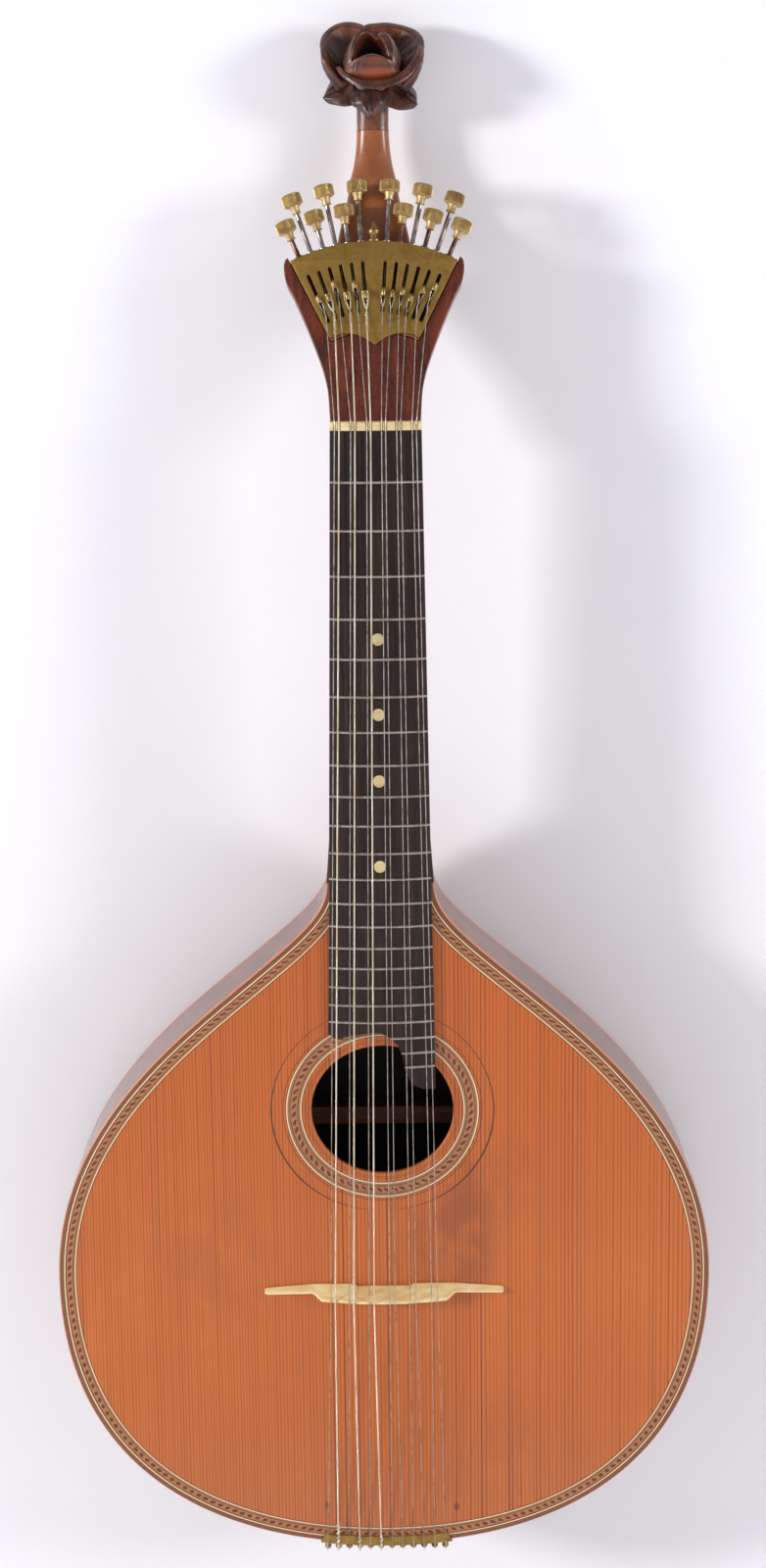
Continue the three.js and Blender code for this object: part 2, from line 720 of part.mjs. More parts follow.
for (let i = 0; i < tunerCount; i++) {
  const number = String(i + 1).padStart(2, "0");
  const group = new THREE.Group();
  group.position.y = screwDepth;
  group.rotation.y = tunerAngle(i);
  fan.add(group);
  tunerGroups.push(group);

  const isLong = i < tunerCount / 2 ? i % 2 === 1 : i % 2 === 0;
  const knobMiddle = isLong ? longKnob : shortKnob;
  const knobFoot = knobMiddle - knobHeight / 2;
  const knobTop = knobMiddle + knobHeight / 2;
  const collarStart = knobFoot - collarLength;
  const tuner = turned([
    [0, screwStart],
    [screwRadius, screwStart],
    [screwRadius, flangeStart],
    [flangeRadius, flangeStart],
    [flangeRadius, flangeEnd],
    [shaftRadius, flangeEnd],
    [shaftRadius, collarStart],
    [collarRadius, collarStart],
    [collarRadius, collarStart + collarRim],
    [collarWaist, collarStart + collarRim],
    [collarTopRadius, knobFoot],
    [knobRadius - knobChamfer, knobFoot],
    [knobRadius, knobFoot + knobChamfer],
    [knobRadius, knobTop - knobChamfer],
    [knobRadius - knobChamfer, knobTop],
    [0, knobTop],
  ], tunerSides);
  piece(`tuner_${number}`, tuner, brass, group);

  const rest = hookRest(i);
  const block = box(
    -blockWidth / 2, blockWidth / 2, -blockDepth / 2, blockDepth / 2,
    rest - blockLength / 2, rest + blockLength / 2,
  );
  const blockBore = bore(screwRadius + seat, rest - blockLength, rest + blockLength);
  const fin = box(
    -finWidth / 2, finWidth / 2, hookFace, -screwRadius - 2 * seat,
    rest - finLength / 2, rest + finLength / 2,
  );
  const tip = turned(
    tipShares.map(([across, along]) => [
      across * hookRadius, rest + along * (along < 0 ? hookTail : hookTip),
    ]), lowSides + 2,
  ).translate(0, hookFace, 0);
  piece(`hook_${number}`, join(cut(block, blockBore), fin, tip), brightBrass, group);
}

// Tail plate: a strip bent over the edge of the body, with a pin for each string.

const outerFace = -seat - tailPlateThickness;
const flange = prism(band(outerFace, tailFlange), level(outerFace), level(-seat));
const skirt = prism(band(outerFace, -seat), level(outerFace), level(tailSkirt));
const tailRegion = box(
  -tailPlateHalfWidth, tailPlateHalfWidth, -overrun, tailSkirt + overrun,
  bodyTail - overrun, bodyTail + tailFlange + overrun,
);
const bent = common(join(flange, skirt), tailRegion);
const behindSkirt = prism(
  new THREE.Shape(outline(-seat - tailPlateThickness / 2)), level(-overrun), level(tailSkirt + overrun),
);
const pinEnd = bodyTail - pinReach;
const pinX = (i) => pinPitch * (i - (tunerCount - 1) / 2);
const pins = Array.from({ length: tunerCount }, (_, i) => {
  const profile = pinShares.map(
    ([across, along]) => [across * pinHeadRadius, pinEnd + along * pinHeadHeight],
  );
  const pinStart = bodyTail + overrun;
  profile.push([pinRadius, pinEnd + pinHeadHeight], [pinRadius, pinStart], [0, pinStart]);
  return cut(turned(profile, lowSides + 2).translate(pinX(i), pinDepth, 0), behindSkirt);
});
piece("tail_plate", join(bent, ...pins), brightBrass);

// Strings: each runs from a loop round its pin over the bridge and nut to a loop round its hook.

// A path through fixed points, whose rings fall on the points.
class Route extends THREE.Curve {
  constructor(points) {
    super();
    this.points = points;
  }
  getUtoTmapping(u) {
    return u;
  }
  getPoint(t, target = new THREE.Vector3()) {
    const place = t * (this.points.length - 1);
    const i = Math.min(Math.floor(place), this.points.length - 2);
    return target.lerpVectors(this.points[i], this.points[i + 1], place - i);
  }
  getTangent(t, target = new THREE.Vector3()) {
    const i = Math.round(t * (this.points.length - 1));
    const before = this.points[Math.max(i - 1, 0)];
    const here = this.points[i];
    const after = this.points[Math.min(i + 1, this.points.length - 1)];
    const arriving = here.clone().sub(before).normalize();
    return target.copy(after).sub(here).normalize().add(arriving).normalize();
  }
}

root.updateMatrixWorld(true);
const loopZ = pinEnd + pinHeadHeight + seat + woundRadius;
const crest = bridgeTail + bridgeLength * bridgeShares[3][0];
const crestStart = bridgeTail + bridgeLength * bridgeShares[4][0];

// Half a turn round an eye, from one side to the other, as offsets across and beyond.
const turnRound = (across, beyond) =>
  Array.from({ length: lowSides - 1 }, (_, k) => {
    const angle = (Math.PI * k) / (lowSides - 2);
    return [across * Math.cos(angle), beyond * Math.sin(angle)];
  });

for (let i = 0; i < tunerCount; i++) {
  const number = String(i + 1).padStart(2, "0");
  const radius = woundRadius * stringShares[i];
  const nutX = stringX(nutStringShares, nutStringSpread, i);
  const bridgeX = stringX(bridgeStringShares, bridgeStringSpread, i);
  const tailX = pinX(i);
  const pinEye = pinRadius + seat + radius;
  const atNut = drop(nutX, fretboardCrown) - nutFloor - seat - radius;
  const atBridge = -blockAt(bridgeX) - seat - radius;
  const edge = outerFace - seat - radius;
  const points = [
    new THREE.Vector3(tailX + pinEye, pinDepth - loopTail, loopZ),
    ...turnRound(pinEye, pinEye).map(([x, y]) => new THREE.Vector3(tailX + x, pinDepth + y, loopZ)),
    new THREE.Vector3(tailX, pinDepth - 2 * loopTail, loopZ),
    new THREE.Vector3(tailX, edge + seat + radius, loopZ),
    new THREE.Vector3(tailX, edge - seat, loopZ + seat + radius),
    new THREE.Vector3(bridgeX, atBridge, crestStart),
    new THREE.Vector3(bridgeX, atBridge, crest),
    new THREE.Vector3(nutX, atNut, -seat),
    new THREE.Vector3(nutX, atNut, nutLength + seat),
  ];
  const rest = hookRest(i);
  const eyeX = finWidth / 2 + seat + radius;
  const eyeZ = seat + radius;
  const loop = [
    [0, rest - 3 * loopTail],
    [-eyeX, rest - loopTail],
    ...turnRound(-eyeX, eyeZ).map(([x, z]) => [x, rest + finLength / 2 + z]),
    [eyeX, rest - 2 * loopTail],
  ];
  for (const [x, z] of loop) {
    points.push(tunerGroups[i].localToWorld(new THREE.Vector3(x, loopFace, z)));
  }
  const section = new THREE.Shape(ring(radius, lowSides));
  const extrudePath = new Route(points);
  const string = new THREE.ExtrudeGeometry(section, { steps: points.length - 1, extrudePath });
  piece(`string_${number}`, string, radius < woundRadius ? steel : silver);
}

// Rose: an open cup of petals round a bud, with sepals under it, carved in one with the stem's end.

const rose = new THREE.Group();
rose.position.set(0, roseDepth, roseBase);
rose.rotation.x = roseTilt;
rose.updateMatrix();

const cupProfile = cupShares.map(([across, along]) => [across * cupRadius, cupFoot + along * cupHeight]);
const cup = reshape(turned(cupProfile, 2 * sides), (x, y, z) => {
  const lobe = Math.cos(petals * Math.atan2(x, -y)) * ((z - cupFoot) / cupHeight) ** 2;
  const share = 1 - (lobeDepth * lobe) / cupRadius;
  return [x * share, y * share * (y < 0 ? cupFrontShare : 1), z - lobeDepth * lobe];
});
const budProfile = budShares.map(([across, along]) => [across * budRadius, budFoot + along * budHeight]);
const flower = [cup, turned(budProfile, sides + 3)];
for (let k = 0; k < sepals; k++) {
  const blade = reshape(new THREE.SphereGeometry(1, sides, lowSides), (x, y, z) => [
    x * sepalHalfWidth * (1 - (sepalPointShare * (1 + z)) / 2),
    -sepalRing - z * sepalHalfLength,
    sepalRise - sepalDroop * ((1 + z) / 2) ** 2 + (y * sepalThickness) / 2,
  ]);
  flower.push(blade.rotateZ((2 * Math.PI * k) / sepals));
}
const blossom = join(...flower).applyMatrix4(rose.matrix);
const aboveJoint = box(
  -bodyHalfWidth, bodyHalfWidth, -bodyHalfWidth, bodyHalfWidth, roseJoint + seat, stemTop + overrun,
);
piece("carved_rose", join(blossom, common(stem, aboveJoint)), walnut, head);

export default root;
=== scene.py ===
# Looks for a twelve-string guitar with a fan-shaped tuning plate and a carved rose.
# Lengths are millimetres, x toward the treble side, y into the body and z up from the nut; mm() gives metres.
import math

import bmesh
import bpy
from mathutils import Matrix, Vector
from mathutils.geometry import tessellate_polygon


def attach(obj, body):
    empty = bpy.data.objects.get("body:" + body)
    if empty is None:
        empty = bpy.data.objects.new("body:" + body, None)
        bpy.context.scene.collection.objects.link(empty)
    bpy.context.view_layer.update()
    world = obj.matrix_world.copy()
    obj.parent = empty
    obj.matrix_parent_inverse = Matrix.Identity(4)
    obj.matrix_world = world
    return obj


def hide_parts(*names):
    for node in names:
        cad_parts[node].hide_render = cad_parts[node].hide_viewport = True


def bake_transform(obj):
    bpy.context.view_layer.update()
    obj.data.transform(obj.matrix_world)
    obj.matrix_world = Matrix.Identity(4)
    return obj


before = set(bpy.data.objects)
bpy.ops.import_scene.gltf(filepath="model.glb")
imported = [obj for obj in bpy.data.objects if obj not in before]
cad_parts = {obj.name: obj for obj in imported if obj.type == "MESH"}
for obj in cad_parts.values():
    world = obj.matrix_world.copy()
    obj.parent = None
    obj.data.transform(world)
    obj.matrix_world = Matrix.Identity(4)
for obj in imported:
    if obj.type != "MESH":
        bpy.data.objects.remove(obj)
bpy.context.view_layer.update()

MM = 0.001
TAU = 2 * math.pi


def mm(x, y, z):
    return Vector((x * MM, y * MM, z * MM))


def lerp(a, b, t):
    return a + (b - a) * t


def smooth(t):
    t = min(1.0, max(0.0, t))
    return t * t * (3 - 2 * t)


def drop(x, radius):
    """How far a crowned surface falls at a distance from its middle."""
    return radius - math.sqrt(radius * radius - x * x)


def rounded(value, roundness):
    return math.copysign(abs(value) ** roundness, value)


def catmull(points, per_span, closed=False):
    """A smooth line through points of any size."""
    n = len(points)
    spans = n if closed else n - 1
    out = []
    for i in range(spans):
        at = [points[(i + k) % n] if closed else points[min(max(i + k, 0), n - 1)] for k in (-1, 0, 1, 2)]
        for s in range(per_span):
            t = s / per_span
            w = (
                (-t + 2 * t * t - t ** 3) / 2,
                (2 - 5 * t * t + 3 * t ** 3) / 2,
                (t + 4 * t * t - 3 * t ** 3) / 2,
                (t ** 3 - t * t) / 2,
            )
            out.append(tuple(sum(w[k] * at[k][c] for k in range(4)) for c in range(len(points[0]))))
    if not closed:
        out.append(tuple(points[-1]))
    return out


# the axis of the vector "marks" at each vertex that keeps a number of this name
# "deep" carries painted shade in the rose's grooves and hollows
# "worn" carries wear on what stands proud, with painted highlights on lips and tips
MARK_AXIS = {"edge": 0, "along": 1, "hole": 2, "worn": 0, "deep": 1, "stem": 2}


class Build:
    """Collects vertices in millimetres, faces, and numbers kept at each vertex."""

    def __init__(self):
        self.verts = []
        self.faces = []
        self.skins = []
        self.current = 0
        self.marks = {}

    def add(self, points, **marks):
        start = len(self.verts)
        self.verts.extend(tuple(p) for p in points)
        for key, values in marks.items():
            self.marks.setdefault(key, {}).update({start + i: v for i, v in enumerate(values)})
        return list(range(start, start + len(points)))

    def face(self, ids):
        self.faces.append(tuple(ids))
        self.skins.append(self.current)

    def strip(self, a, b, closed=True):
        n = len(a)
        for i in range(n if closed else n - 1):
            j = (i + 1) % n
            self.face((a[i], a[j], b[j], b[i]))

    def strips(self, rings, closed=True):
        for a, b in zip(rings, rings[1:]):
            self.strip(a, b, closed)

    def loft(self, rings, **marks):
        """Joins rings of points in order, and fills the first and the last."""
        ids = [self.add(ring, **{key: values[k] for key, values in marks.items()})
               for k, ring in enumerate(rings)]
        self.strips(ids)
        self.face(ids[0][::-1])
        self.face(ids[-1])

    def fill(self, loops, flip=False):
        """Fills a flat outline and its holes, given as lists of vertex numbers."""
        flat = [i for loop in loops for i in loop]
        for tri in tessellate_polygon([[Vector(self.verts[i]) for i in loop] for loop in loops]):
            ids = [flat[i] for i in tri]
            self.face(ids[::-1] if flip else ids)

    def turned(self, profile, count, place, bulge=None):
        """A turned form along Z through (radius, height) pairs, with a point at each end."""
        ids = []
        for r, h in profile[1:-1]:
            ring = []
            for i in range(count):
                a = TAU * i / count
                reach = r * (bulge(a, r) if bulge else 1)
                ring.append(place((reach * math.cos(a), reach * math.sin(a), h)))
            ids.append(self.add(ring))
        self.strips(ids)
        low = self.add([place((0, 0, profile[0][1]))])[0]
        high = self.add([place((0, 0, profile[-1][1]))])[0]
        for i in range(count):
            j = (i + 1) % count
            self.face((low, ids[0][j], ids[0][i]))
            self.face((high, ids[-1][i], ids[-1][j]))

    def tube(self, path, radius, count):
        """A tube along points, whose section doesn't twist."""
        path = [Vector(p) for p in path]
        n = len(path)
        along = 0.0
        side = None
        rings, run = [], []
        for i, p in enumerate(path):
            way = (path[min(i + 1, n - 1)] - path[max(i - 1, 0)]).normalized()
            if side is None:
                side = way.orthogonal().normalized()
            side = (side - way * side.dot(way)).normalized()
            other = way.cross(side)
            if i:
                along += (p - path[i - 1]).length
            rings.append([
                tuple(p + (side * math.cos(a) + other * math.sin(a)) * radius)
                for a in (TAU * k / count for k in range(count))
            ])
            run.append([along] * count)
        self.loft(rings, along=run)

    def make(self, name, material, body="instrument", nodes=(), sharp=35, slot=None, place=None):
        mesh = bpy.data.meshes.new(name)
        verts = [mm(*(place(v) if place else v)) for v in self.verts]
        mesh.from_pydata(verts, [], self.faces)
        mesh.polygons.foreach_set("material_index", self.skins)
        if self.marks:
            places = [0.0] * (3 * len(verts))
            for key, values in self.marks.items():
                for i, value in values.items():
                    places[3 * i + MARK_AXIS[key]] = value
            mesh.attributes.new("marks", "FLOAT_VECTOR", "POINT").data.foreach_set("vector", places)
        mesh.validate()
        obj = placed(name, mesh)
        fix_normals(obj)
        for skin in material if isinstance(material, list) else [material]:
            mesh.materials.append(skin)
        mesh.shade_smooth()
        mesh.set_sharp_from_angle(angle=math.radians(sharp))
        if body:
            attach(obj, body)
        if nodes:
            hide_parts(*nodes)
        return obj


def placed(name, data):
    """A new object with this data, in the scene."""
    obj = bpy.data.objects.new(name, data)
    bpy.context.scene.collection.objects.link(obj)
    return obj


def fix_normals(obj):
    work = bmesh.new()
    work.from_mesh(obj.data)
    bmesh.ops.recalc_face_normals(work, faces=work.faces)
    work.to_mesh(obj.data)
    work.free()


# materials

class Graph:
    """A material and short ways to write its nodes. A number or a socket goes into any input."""

    def __init__(self, name, rough=0.5, metal=0.0, **sockets):
        self.material = bpy.data.materials.new(name)
        self.material.use_nodes = True
        self.tree = self.material.node_tree
        self.tree.nodes.clear()
        self.shader = self.tree.nodes.new("ShaderNodeBsdfPrincipled")
        self.output = self.tree.nodes.new("ShaderNodeOutputMaterial")
        self.tree.links.new(self.shader.outputs[0], self.output.inputs[0])
        self.shader.inputs["Metallic"].default_value = metal
        self.shader.inputs["Roughness"].default_value = rough
        for key, value in sockets.items():
            self.shader.inputs[key.replace("_", " ")].default_value = value
        self._coords = None
        self._marks = None

    def put(self, socket, value):
        if isinstance(value, bpy.types.NodeSocket):
            self.tree.links.new(value, socket)
        elif isinstance(value, (tuple, list)) and len(value) == 3 and len(socket.default_value) == 4:
            socket.default_value = (*value, 1.0)
        else:
            socket.default_value = value

    def node(self, kind, values=(), **settings):
        made = self.tree.nodes.new("ShaderNode" + kind)
        for key, value in settings.items():
            setattr(made, key, value)
        for key, value in dict(values).items():
            self.put(made.inputs[key], value)
        return made

    def math(self, operation, a, b=0.0, c=0.0):
        return self.node("Math", {0: a, 1: b, 2: c}, operation=operation).outputs[0]

    def times(self, a, b):
        return self.math("MULTIPLY", a, b)

    def plus(self, a, b):
        return self.math("ADD", a, b)

    def less(self, a, b):
        return self.math("SUBTRACT", a, b)

    def over(self, a, b):
        return self.math("DIVIDE", a, b)

    def power(self, a, b):
        return self.math("POWER", a, b)

    def blend(self, a, b, share):
        """A share of a with the rest of b."""
        return self.plus(self.times(a, share), self.times(b, 1 - share))

    def span(self, value, low, high, to_low=0.0, to_high=1.0, kind="SMOOTHSTEP"):
        """value between low and high, moved to another range."""
        return self.node(
            "MapRange", {0: value, 1: low, 2: high, 3: to_low, 4: to_high}, interpolation_type=kind,
        ).outputs[0]

    def band(self, value, low, high, soft=0.05):
        """1 between two values and 0 outside them."""
        rise = self.span(value, low - soft, low + soft)
        fall = self.span(value, high - soft, high + soft, 1.0, 0.0)
        return self.times(rise, fall)

    def mix(self, share, a, b):
        return self.node("Mix", {0: share, 6: a, 7: b}, data_type="RGBA").outputs[2]

    def ramp(self, share, *stops):
        made = self.node("ValToRGB", {0: share})
        points = made.color_ramp.elements
        while len(points) < len(stops):
            points.new(0.5)
        for point, (place, color) in zip(points, stops):
            point.position = place
            point.color = (*color, 1.0)
        return made.outputs[0]

    def stripes(self, value, reach, base, lines):
        """Sharp stripes over base, each from a low to a high value and of one color."""
        made = self.node("ValToRGB", {0: self.over(value, reach)})
        made.color_ramp.interpolation = "CONSTANT"
        points = made.color_ramp.elements
        points.remove(points[1])
        points[0].color = (0, 0, 0, 0)
        for i, (low, high, color) in enumerate(lines):
            start = points[0] if low == 0 else points.new(low / reach)
            start.color = (*color, 1.0)
            if i + 1 == len(lines) or lines[i + 1][0] > high:
                points.new(high / reach).color = (*color, 0.0)
        return self.mix(made.outputs[1], base, made.outputs[0])

    def mark(self, name):
        if self._marks is None:
            marks = self.node("Attribute", attribute_name="marks").outputs["Vector"]
            self._marks = self.node("SeparateXYZ", {0: marks}).outputs
        return self._marks[MARK_AXIS[name]]

    def coords(self, scale=(1, 1, 1), shift=(0, 0, 0)):
        """Object coordinates in millimetres, scaled."""
        if self._coords is None:
            self._coords = self.node("TexCoord").outputs["Object"]
        sizes = tuple(s / MM for s in scale)
        return self.node("Mapping", {"Vector": self._coords, "Scale": sizes, "Location": shift}).outputs[0]

    def noise(self, scale, detail=3.0, rough=0.5, shift=(0, 0, 0), lumps=0.0):
        """Noise of a number of waves per millimetre along each axis, moved by shift."""
        values = {"Vector": self.coords(scale, shift), "Scale": 1.0, "Detail": detail, "Roughness": rough,
                  "Distortion": lumps}
        return self.node("TexNoise", values).outputs["Fac"]

    def noise_at(self, x, z, detail, rough, shift):
        """Noise over two numbers that are already scaled."""
        place = self.node("CombineXYZ", {0: x, 1: shift, 2: z}).outputs[0]
        values = {"Vector": place, "Scale": 1.0, "Detail": detail, "Roughness": rough}
        return self.node("TexNoise", values).outputs["Fac"]

    def color(self, value):
        self.put(self.shader.inputs["Base Color"], value)

    def rough(self, value):
        self.put(self.shader.inputs["Roughness"], value)

    def bump(self, height, distance=0.1, strength=1.0):
        """Relief of a height from 0 to 1, distance millimetres deep."""
        made = self.node("Bump", {"Height": height, "Distance": distance * MM, "Strength": strength})
        for name in ("Normal", "Coat Normal"):
            self.put(self.shader.inputs[name], made.outputs[0])


def srgb(r, g, b):
    return tuple((c / 255 / 12.92) if c <= 10 else ((c / 255 + 0.055) / 1.055) ** 2.4 for c in (r, g, b))


def wood(name, dark, middle, light, along):
    """Plain inner wood. along squeezes the grain to run along one axis."""
    g = Graph(name)
    wide = g.noise(tuple(0.35 * a for a in along), 3, 0.55, lumps=0.4)
    lines = g.noise(tuple(3.0 * a for a in along), 4, 0.6, (3, 5, 1))
    dots = g.noise(tuple(12.0 * a for a in along), 2, 0.5, (9, 2, 4))
    tone = g.blend(wide, lines, 0.55)
    base = g.ramp(tone, (0.3, dark), (0.5, middle), (0.7, light))
    pore = g.times(g.span(dots, 0.58, 0.68), 0.4)
    g.color(g.mix(pore, base, tuple(c * 0.4 for c in dark)))
    g.rough(g.span(g.noise((0.05, 0.05, 0.05)), 0.3, 0.7, 0.52, 0.7))
    g.bump(g.less(lines, pore), 0.05)
    return g.material


def brass(name, base, stain, shine, rough, green=0.15, spread=1.0, metal=1.0):
    """Worn brass with brown stains in patches and fine scratches."""
    g = Graph(name, rough=rough, metal=metal)
    patch = g.noise((0.12, 0.12, 0.12), 5, 0.6, lumps=0.6)
    speck = g.noise((0.9, 0.9, 0.9), 4, 0.65, shift=(4, 1, 8))
    lines = g.noise((2.5, 2.5, 2.5), 3, 0.6, shift=(2, 7, 3))
    tone = g.mix(g.span(patch, 0.34, 0.72, 0.0, spread), base, stain)
    tone = g.mix(g.span(speck, 0.58, 0.75, 0, 0.5 * spread), tone, shine)
    tone = g.mix(g.times(g.span(speck, 0.36, 0.25), green), tone, srgb(92, 100, 66))
    g.color(tone)
    g.rough(g.plus(g.span(patch, 0.3, 0.7, rough - 0.06, rough + 0.14), g.times(lines, 0.08)))
    g.bump(g.plus(lines, g.times(speck, 0.5)), 0.02)
    return g.material


def steel(name, base, tint, rough, grain=(1, 1, 1)):
    g = Graph(name, rough=rough, metal=1.0)
    lines = g.noise(tuple(3.0 * a for a in grain), 3, 0.6)
    patch = g.noise((0.2, 0.2, 0.2), 4, 0.6, shift=(5, 5, 1))
    g.color(g.mix(g.span(patch, 0.4, 0.68), base, tint))
    g.rough(g.span(lines, 0.3, 0.7, rough - 0.06, rough + 0.12))
    g.bump(lines, 0.01)
    return g.material


LONG = (1, 1, 0.04)

# the sound hole's height, half width and half height, and the rosette's middle radius
HOLE = (-363.4, 38.2, 35.8)
ROSETTE_MIDDLE = 46.5

SPRUCE_PALE = srgb(200, 105, 40)
SPRUCE_WARM = srgb(192, 98, 35)
SPRUCE_UPPER = srgb(192, 94, 27)
SPRUCE_LOW = srgb(190, 104, 52)

# Spruce top with its edge purfling and rosette. "edge" is the distance in from the outline and
# "hole" the distance out from the sound hole; "along" runs along the outline.
CREAM = srgb(232, 214, 178)
DARK = srgb(70, 42, 32)
OLIVE = srgb(152, 112, 70)


def marquetry(g, run, across, base, low, high, pitch):
    """A strip of small slanted dark leaves on orange wood."""
    middle = (low + high) / 2
    slant = g.less(across, middle)
    place = g.plus(g.over(run, pitch), g.times(slant, 0.2))
    wobble = g.times(g.less(g.noise((0.5, 0.5, 0.5), 2), 0.5), 0.5)
    cell = g.less(g.math("FRACT", g.plus(place, wobble)), 0.5)
    leaf = g.plus(g.power(g.times(cell, 3.3), 2.0),
                  g.power(g.over(slant, (high - low) * 0.32), 2.0))
    grain = g.span(g.noise((2.4, 2.4, 2.4), 3, 0.6, shift=(1, 6, 2)), 0.3, 0.65)
    dark = g.times(g.span(leaf, 1.1, 0.8), g.math("MULTIPLY_ADD", grain, 0.4, 0.6))
    tone = g.mix(g.noise((0.4, 0.4, 0.4), 3, shift=(8, 1, 1)), srgb(196, 126, 76), srgb(166, 106, 66))
    tone = g.mix(g.span(grain, 0.2, 0.9, 0.3, 0.0), tone, srgb(112, 62, 44))
    tone = g.mix(dark, tone, srgb(56, 30, 26))
    return g.mix(g.band(across, low, high), base, tone)


def spruce():
    g = Graph("spruce", rough=0.4, Coat_Weight=0.12, Coat_Roughness=0.25)
    place = g.node("SeparateXYZ", {0: g.coords()}).outputs
    x, z = place[0], place[2]
    bend = g.times(g.noise((0.012, 0.012, 0.002), 2, 0.4), 4.0)
    # growth lines, about 1.7 mm apart at the bass side and wider toward the treble side
    stretch = g.times(g.power(g.span(x, -60.0, 180.0, 0.0, 1.0, "LINEAR"), 1.4), -44.0)
    uneven = g.times(g.noise((0.16, 0.02, 0.0004), 3, 0.65), 2.6)
    run = g.plus(g.plus(x, bend), g.plus(uneven, stretch))
    wave = g.math("MULTIPLY_ADD", g.math("SINE", g.times(run, TAU / 1.7)), 0.5, 0.5)
    late = g.power(wave, 3.0)
    each = g.noise_at(g.times(run, 0.44), g.times(z, 0.0008), 3, 0.7, 3.0)
    strength = g.span(each, 0.32, 0.66, 0.35, 1.0)
    upper = g.span(z, -470.0, -330.0)
    silk = g.noise((5.0, 5.0, 0.06), 3, 0.6, shift=(2, 2, 2))
    fleck = g.noise((1.2, 1.2, 0.12), 4, 0.7, shift=(7, 1, 2))
    cloud = g.noise((0.014, 0.014, 0.01), 4, 0.55, shift=(6, 1, 3))
    light = g.mix(g.span(cloud, 0.32, 0.68), SPRUCE_PALE, SPRUCE_WARM)
    light = g.mix(upper, light, SPRUCE_UPPER)
    light = g.mix(g.span(z, -520.0, -600.0), light, SPRUCE_LOW)
    depth = g.times(strength, g.math("MULTIPLY_ADD", upper, 0.12, 0.8))
    body = g.mix(g.times(late, depth), light, srgb(120, 52, 22))
    body = g.mix(g.span(silk, 0.35, 0.72, 0.0, 0.22), body, srgb(214, 130, 68))
    body = g.mix(g.span(fleck, 0.55, 0.75, 0.0, 0.18), body, srgb(130, 64, 36))
    # a few single dark grain lines
    single = g.noise_at(g.times(run, 0.31), g.times(z, 0.0004), 2, 0.6, 7.0)
    rare = g.times(late, g.span(single, 0.57, 0.64, 0.0, 0.85))
    body = g.mix(rare, body, srgb(92, 44, 26))

    def ellipse(cx, cz, wide, tall):
        """0 at a middle and 1 at these half widths from it."""
        return g.plus(g.power(g.over(g.less(x, cx), wide), 2.0), g.power(g.over(g.less(z, cz), tall), 2.0))

    # playing wear below the sound hole and at the bass side, and two dents near the tail
    for cx, cz, wide, tall, low, high, color in (
        (40.0, -440.0, 34.0, 42.0, 0.28, 0.6, (134, 72, 44)),
        (58.0, -402.0, 30.0, 34.0, 0.34, 0.35, (128, 68, 38)),
        (-92.0, -446.0, 44.0, 50.0, 0.36, 0.3, (152, 80, 42)),
        (60.0, -560.0, 60.0, 40.0, 0.36, 0.25, (152, 84, 50)),
    ):
        patch = g.span(g.noise((0.05, 0.05, 0.03), 4, 0.6, shift=(1, 1, 5)), low, 0.62)
        share = g.times(g.span(ellipse(cx, cz, wide, tall), 1.0, 0.0, 0.0, high), patch)
        body = g.mix(share, body, srgb(*color))
    for cx, cz in ((-32.6, -592.0), (39.0, -593.5)):
        body = g.mix(g.span(ellipse(cx, cz, 1.9, 2.6), 1.0, 0.2, 0.0, 0.75), body, srgb(96, 50, 36))
    hole = g.mark("hole")
    turn = g.times(g.math("ARCTAN2", x, g.less(z, HOLE[0])), ROSETTE_MIDDLE)
    edge, along = g.mark("edge"), g.mark("along")
    tone = marquetry(g, turn, hole, body, 7.6, 11.4, 4.3)
    tone = g.stripes(hole, 25.0, tone, (
        (1.9, 2.1, DARK), (2.9, 3.1, DARK), (5.0, 5.3, DARK), (5.4, 6.05, CREAM), (6.15, 7.2, OLIVE),
        (7.2, 7.6, DARK), (11.4, 11.8, DARK), (11.8, 12.75, OLIVE), (12.95, 13.5, CREAM),
        (13.7, 14.0, DARK), (15.1, 15.35, DARK), (21.1, 21.5, DARK),
    ))
    tone = marquetry(g, along, edge, tone, 4.1, 7.4, 4.4)
    tone = g.stripes(edge, 12.5, tone, (
        (0.0, 2.7, OLIVE), (2.8, 3.35, CREAM), (3.6, 4.1, DARK), (7.4, 7.75, DARK), (7.75, 8.5, OLIVE),
        (8.65, 9.15, CREAM), (9.4, 9.75, DARK),
    ))
    g.color(tone)
    g.rough(g.span(cloud, 0.3, 0.7, 0.36, 0.46))
    lines = g.plus(g.times(late, strength), g.times(silk, 0.4))
    g.bump(lines, 0.03, 0.5)
    return g.material


def binding():
    g = Graph("edge_binding", rough=0.35, Coat_Weight=0.2, Coat_Roughness=0.15)
    edge = g.mark("edge")
    grain = g.noise((1.2, 1.2, 1.2), 4, 0.6, lumps=0.5)
    tone = g.mix(g.span(grain, 0.3, 0.7), srgb(104, 56, 38), srgb(136, 78, 52))
    # painted highlight: a lighter pink band over the binding's rounded outer edge and side
    tone = g.mix(g.band(edge, -1.0, 0.6, 0.15), tone, srgb(196, 124, 88))
    tone = g.mix(g.band(edge, 1.9, 3.0, 0.1), tone, OLIVE)
    g.color(tone)
    g.bump(grain, 0.02)
    return g.material


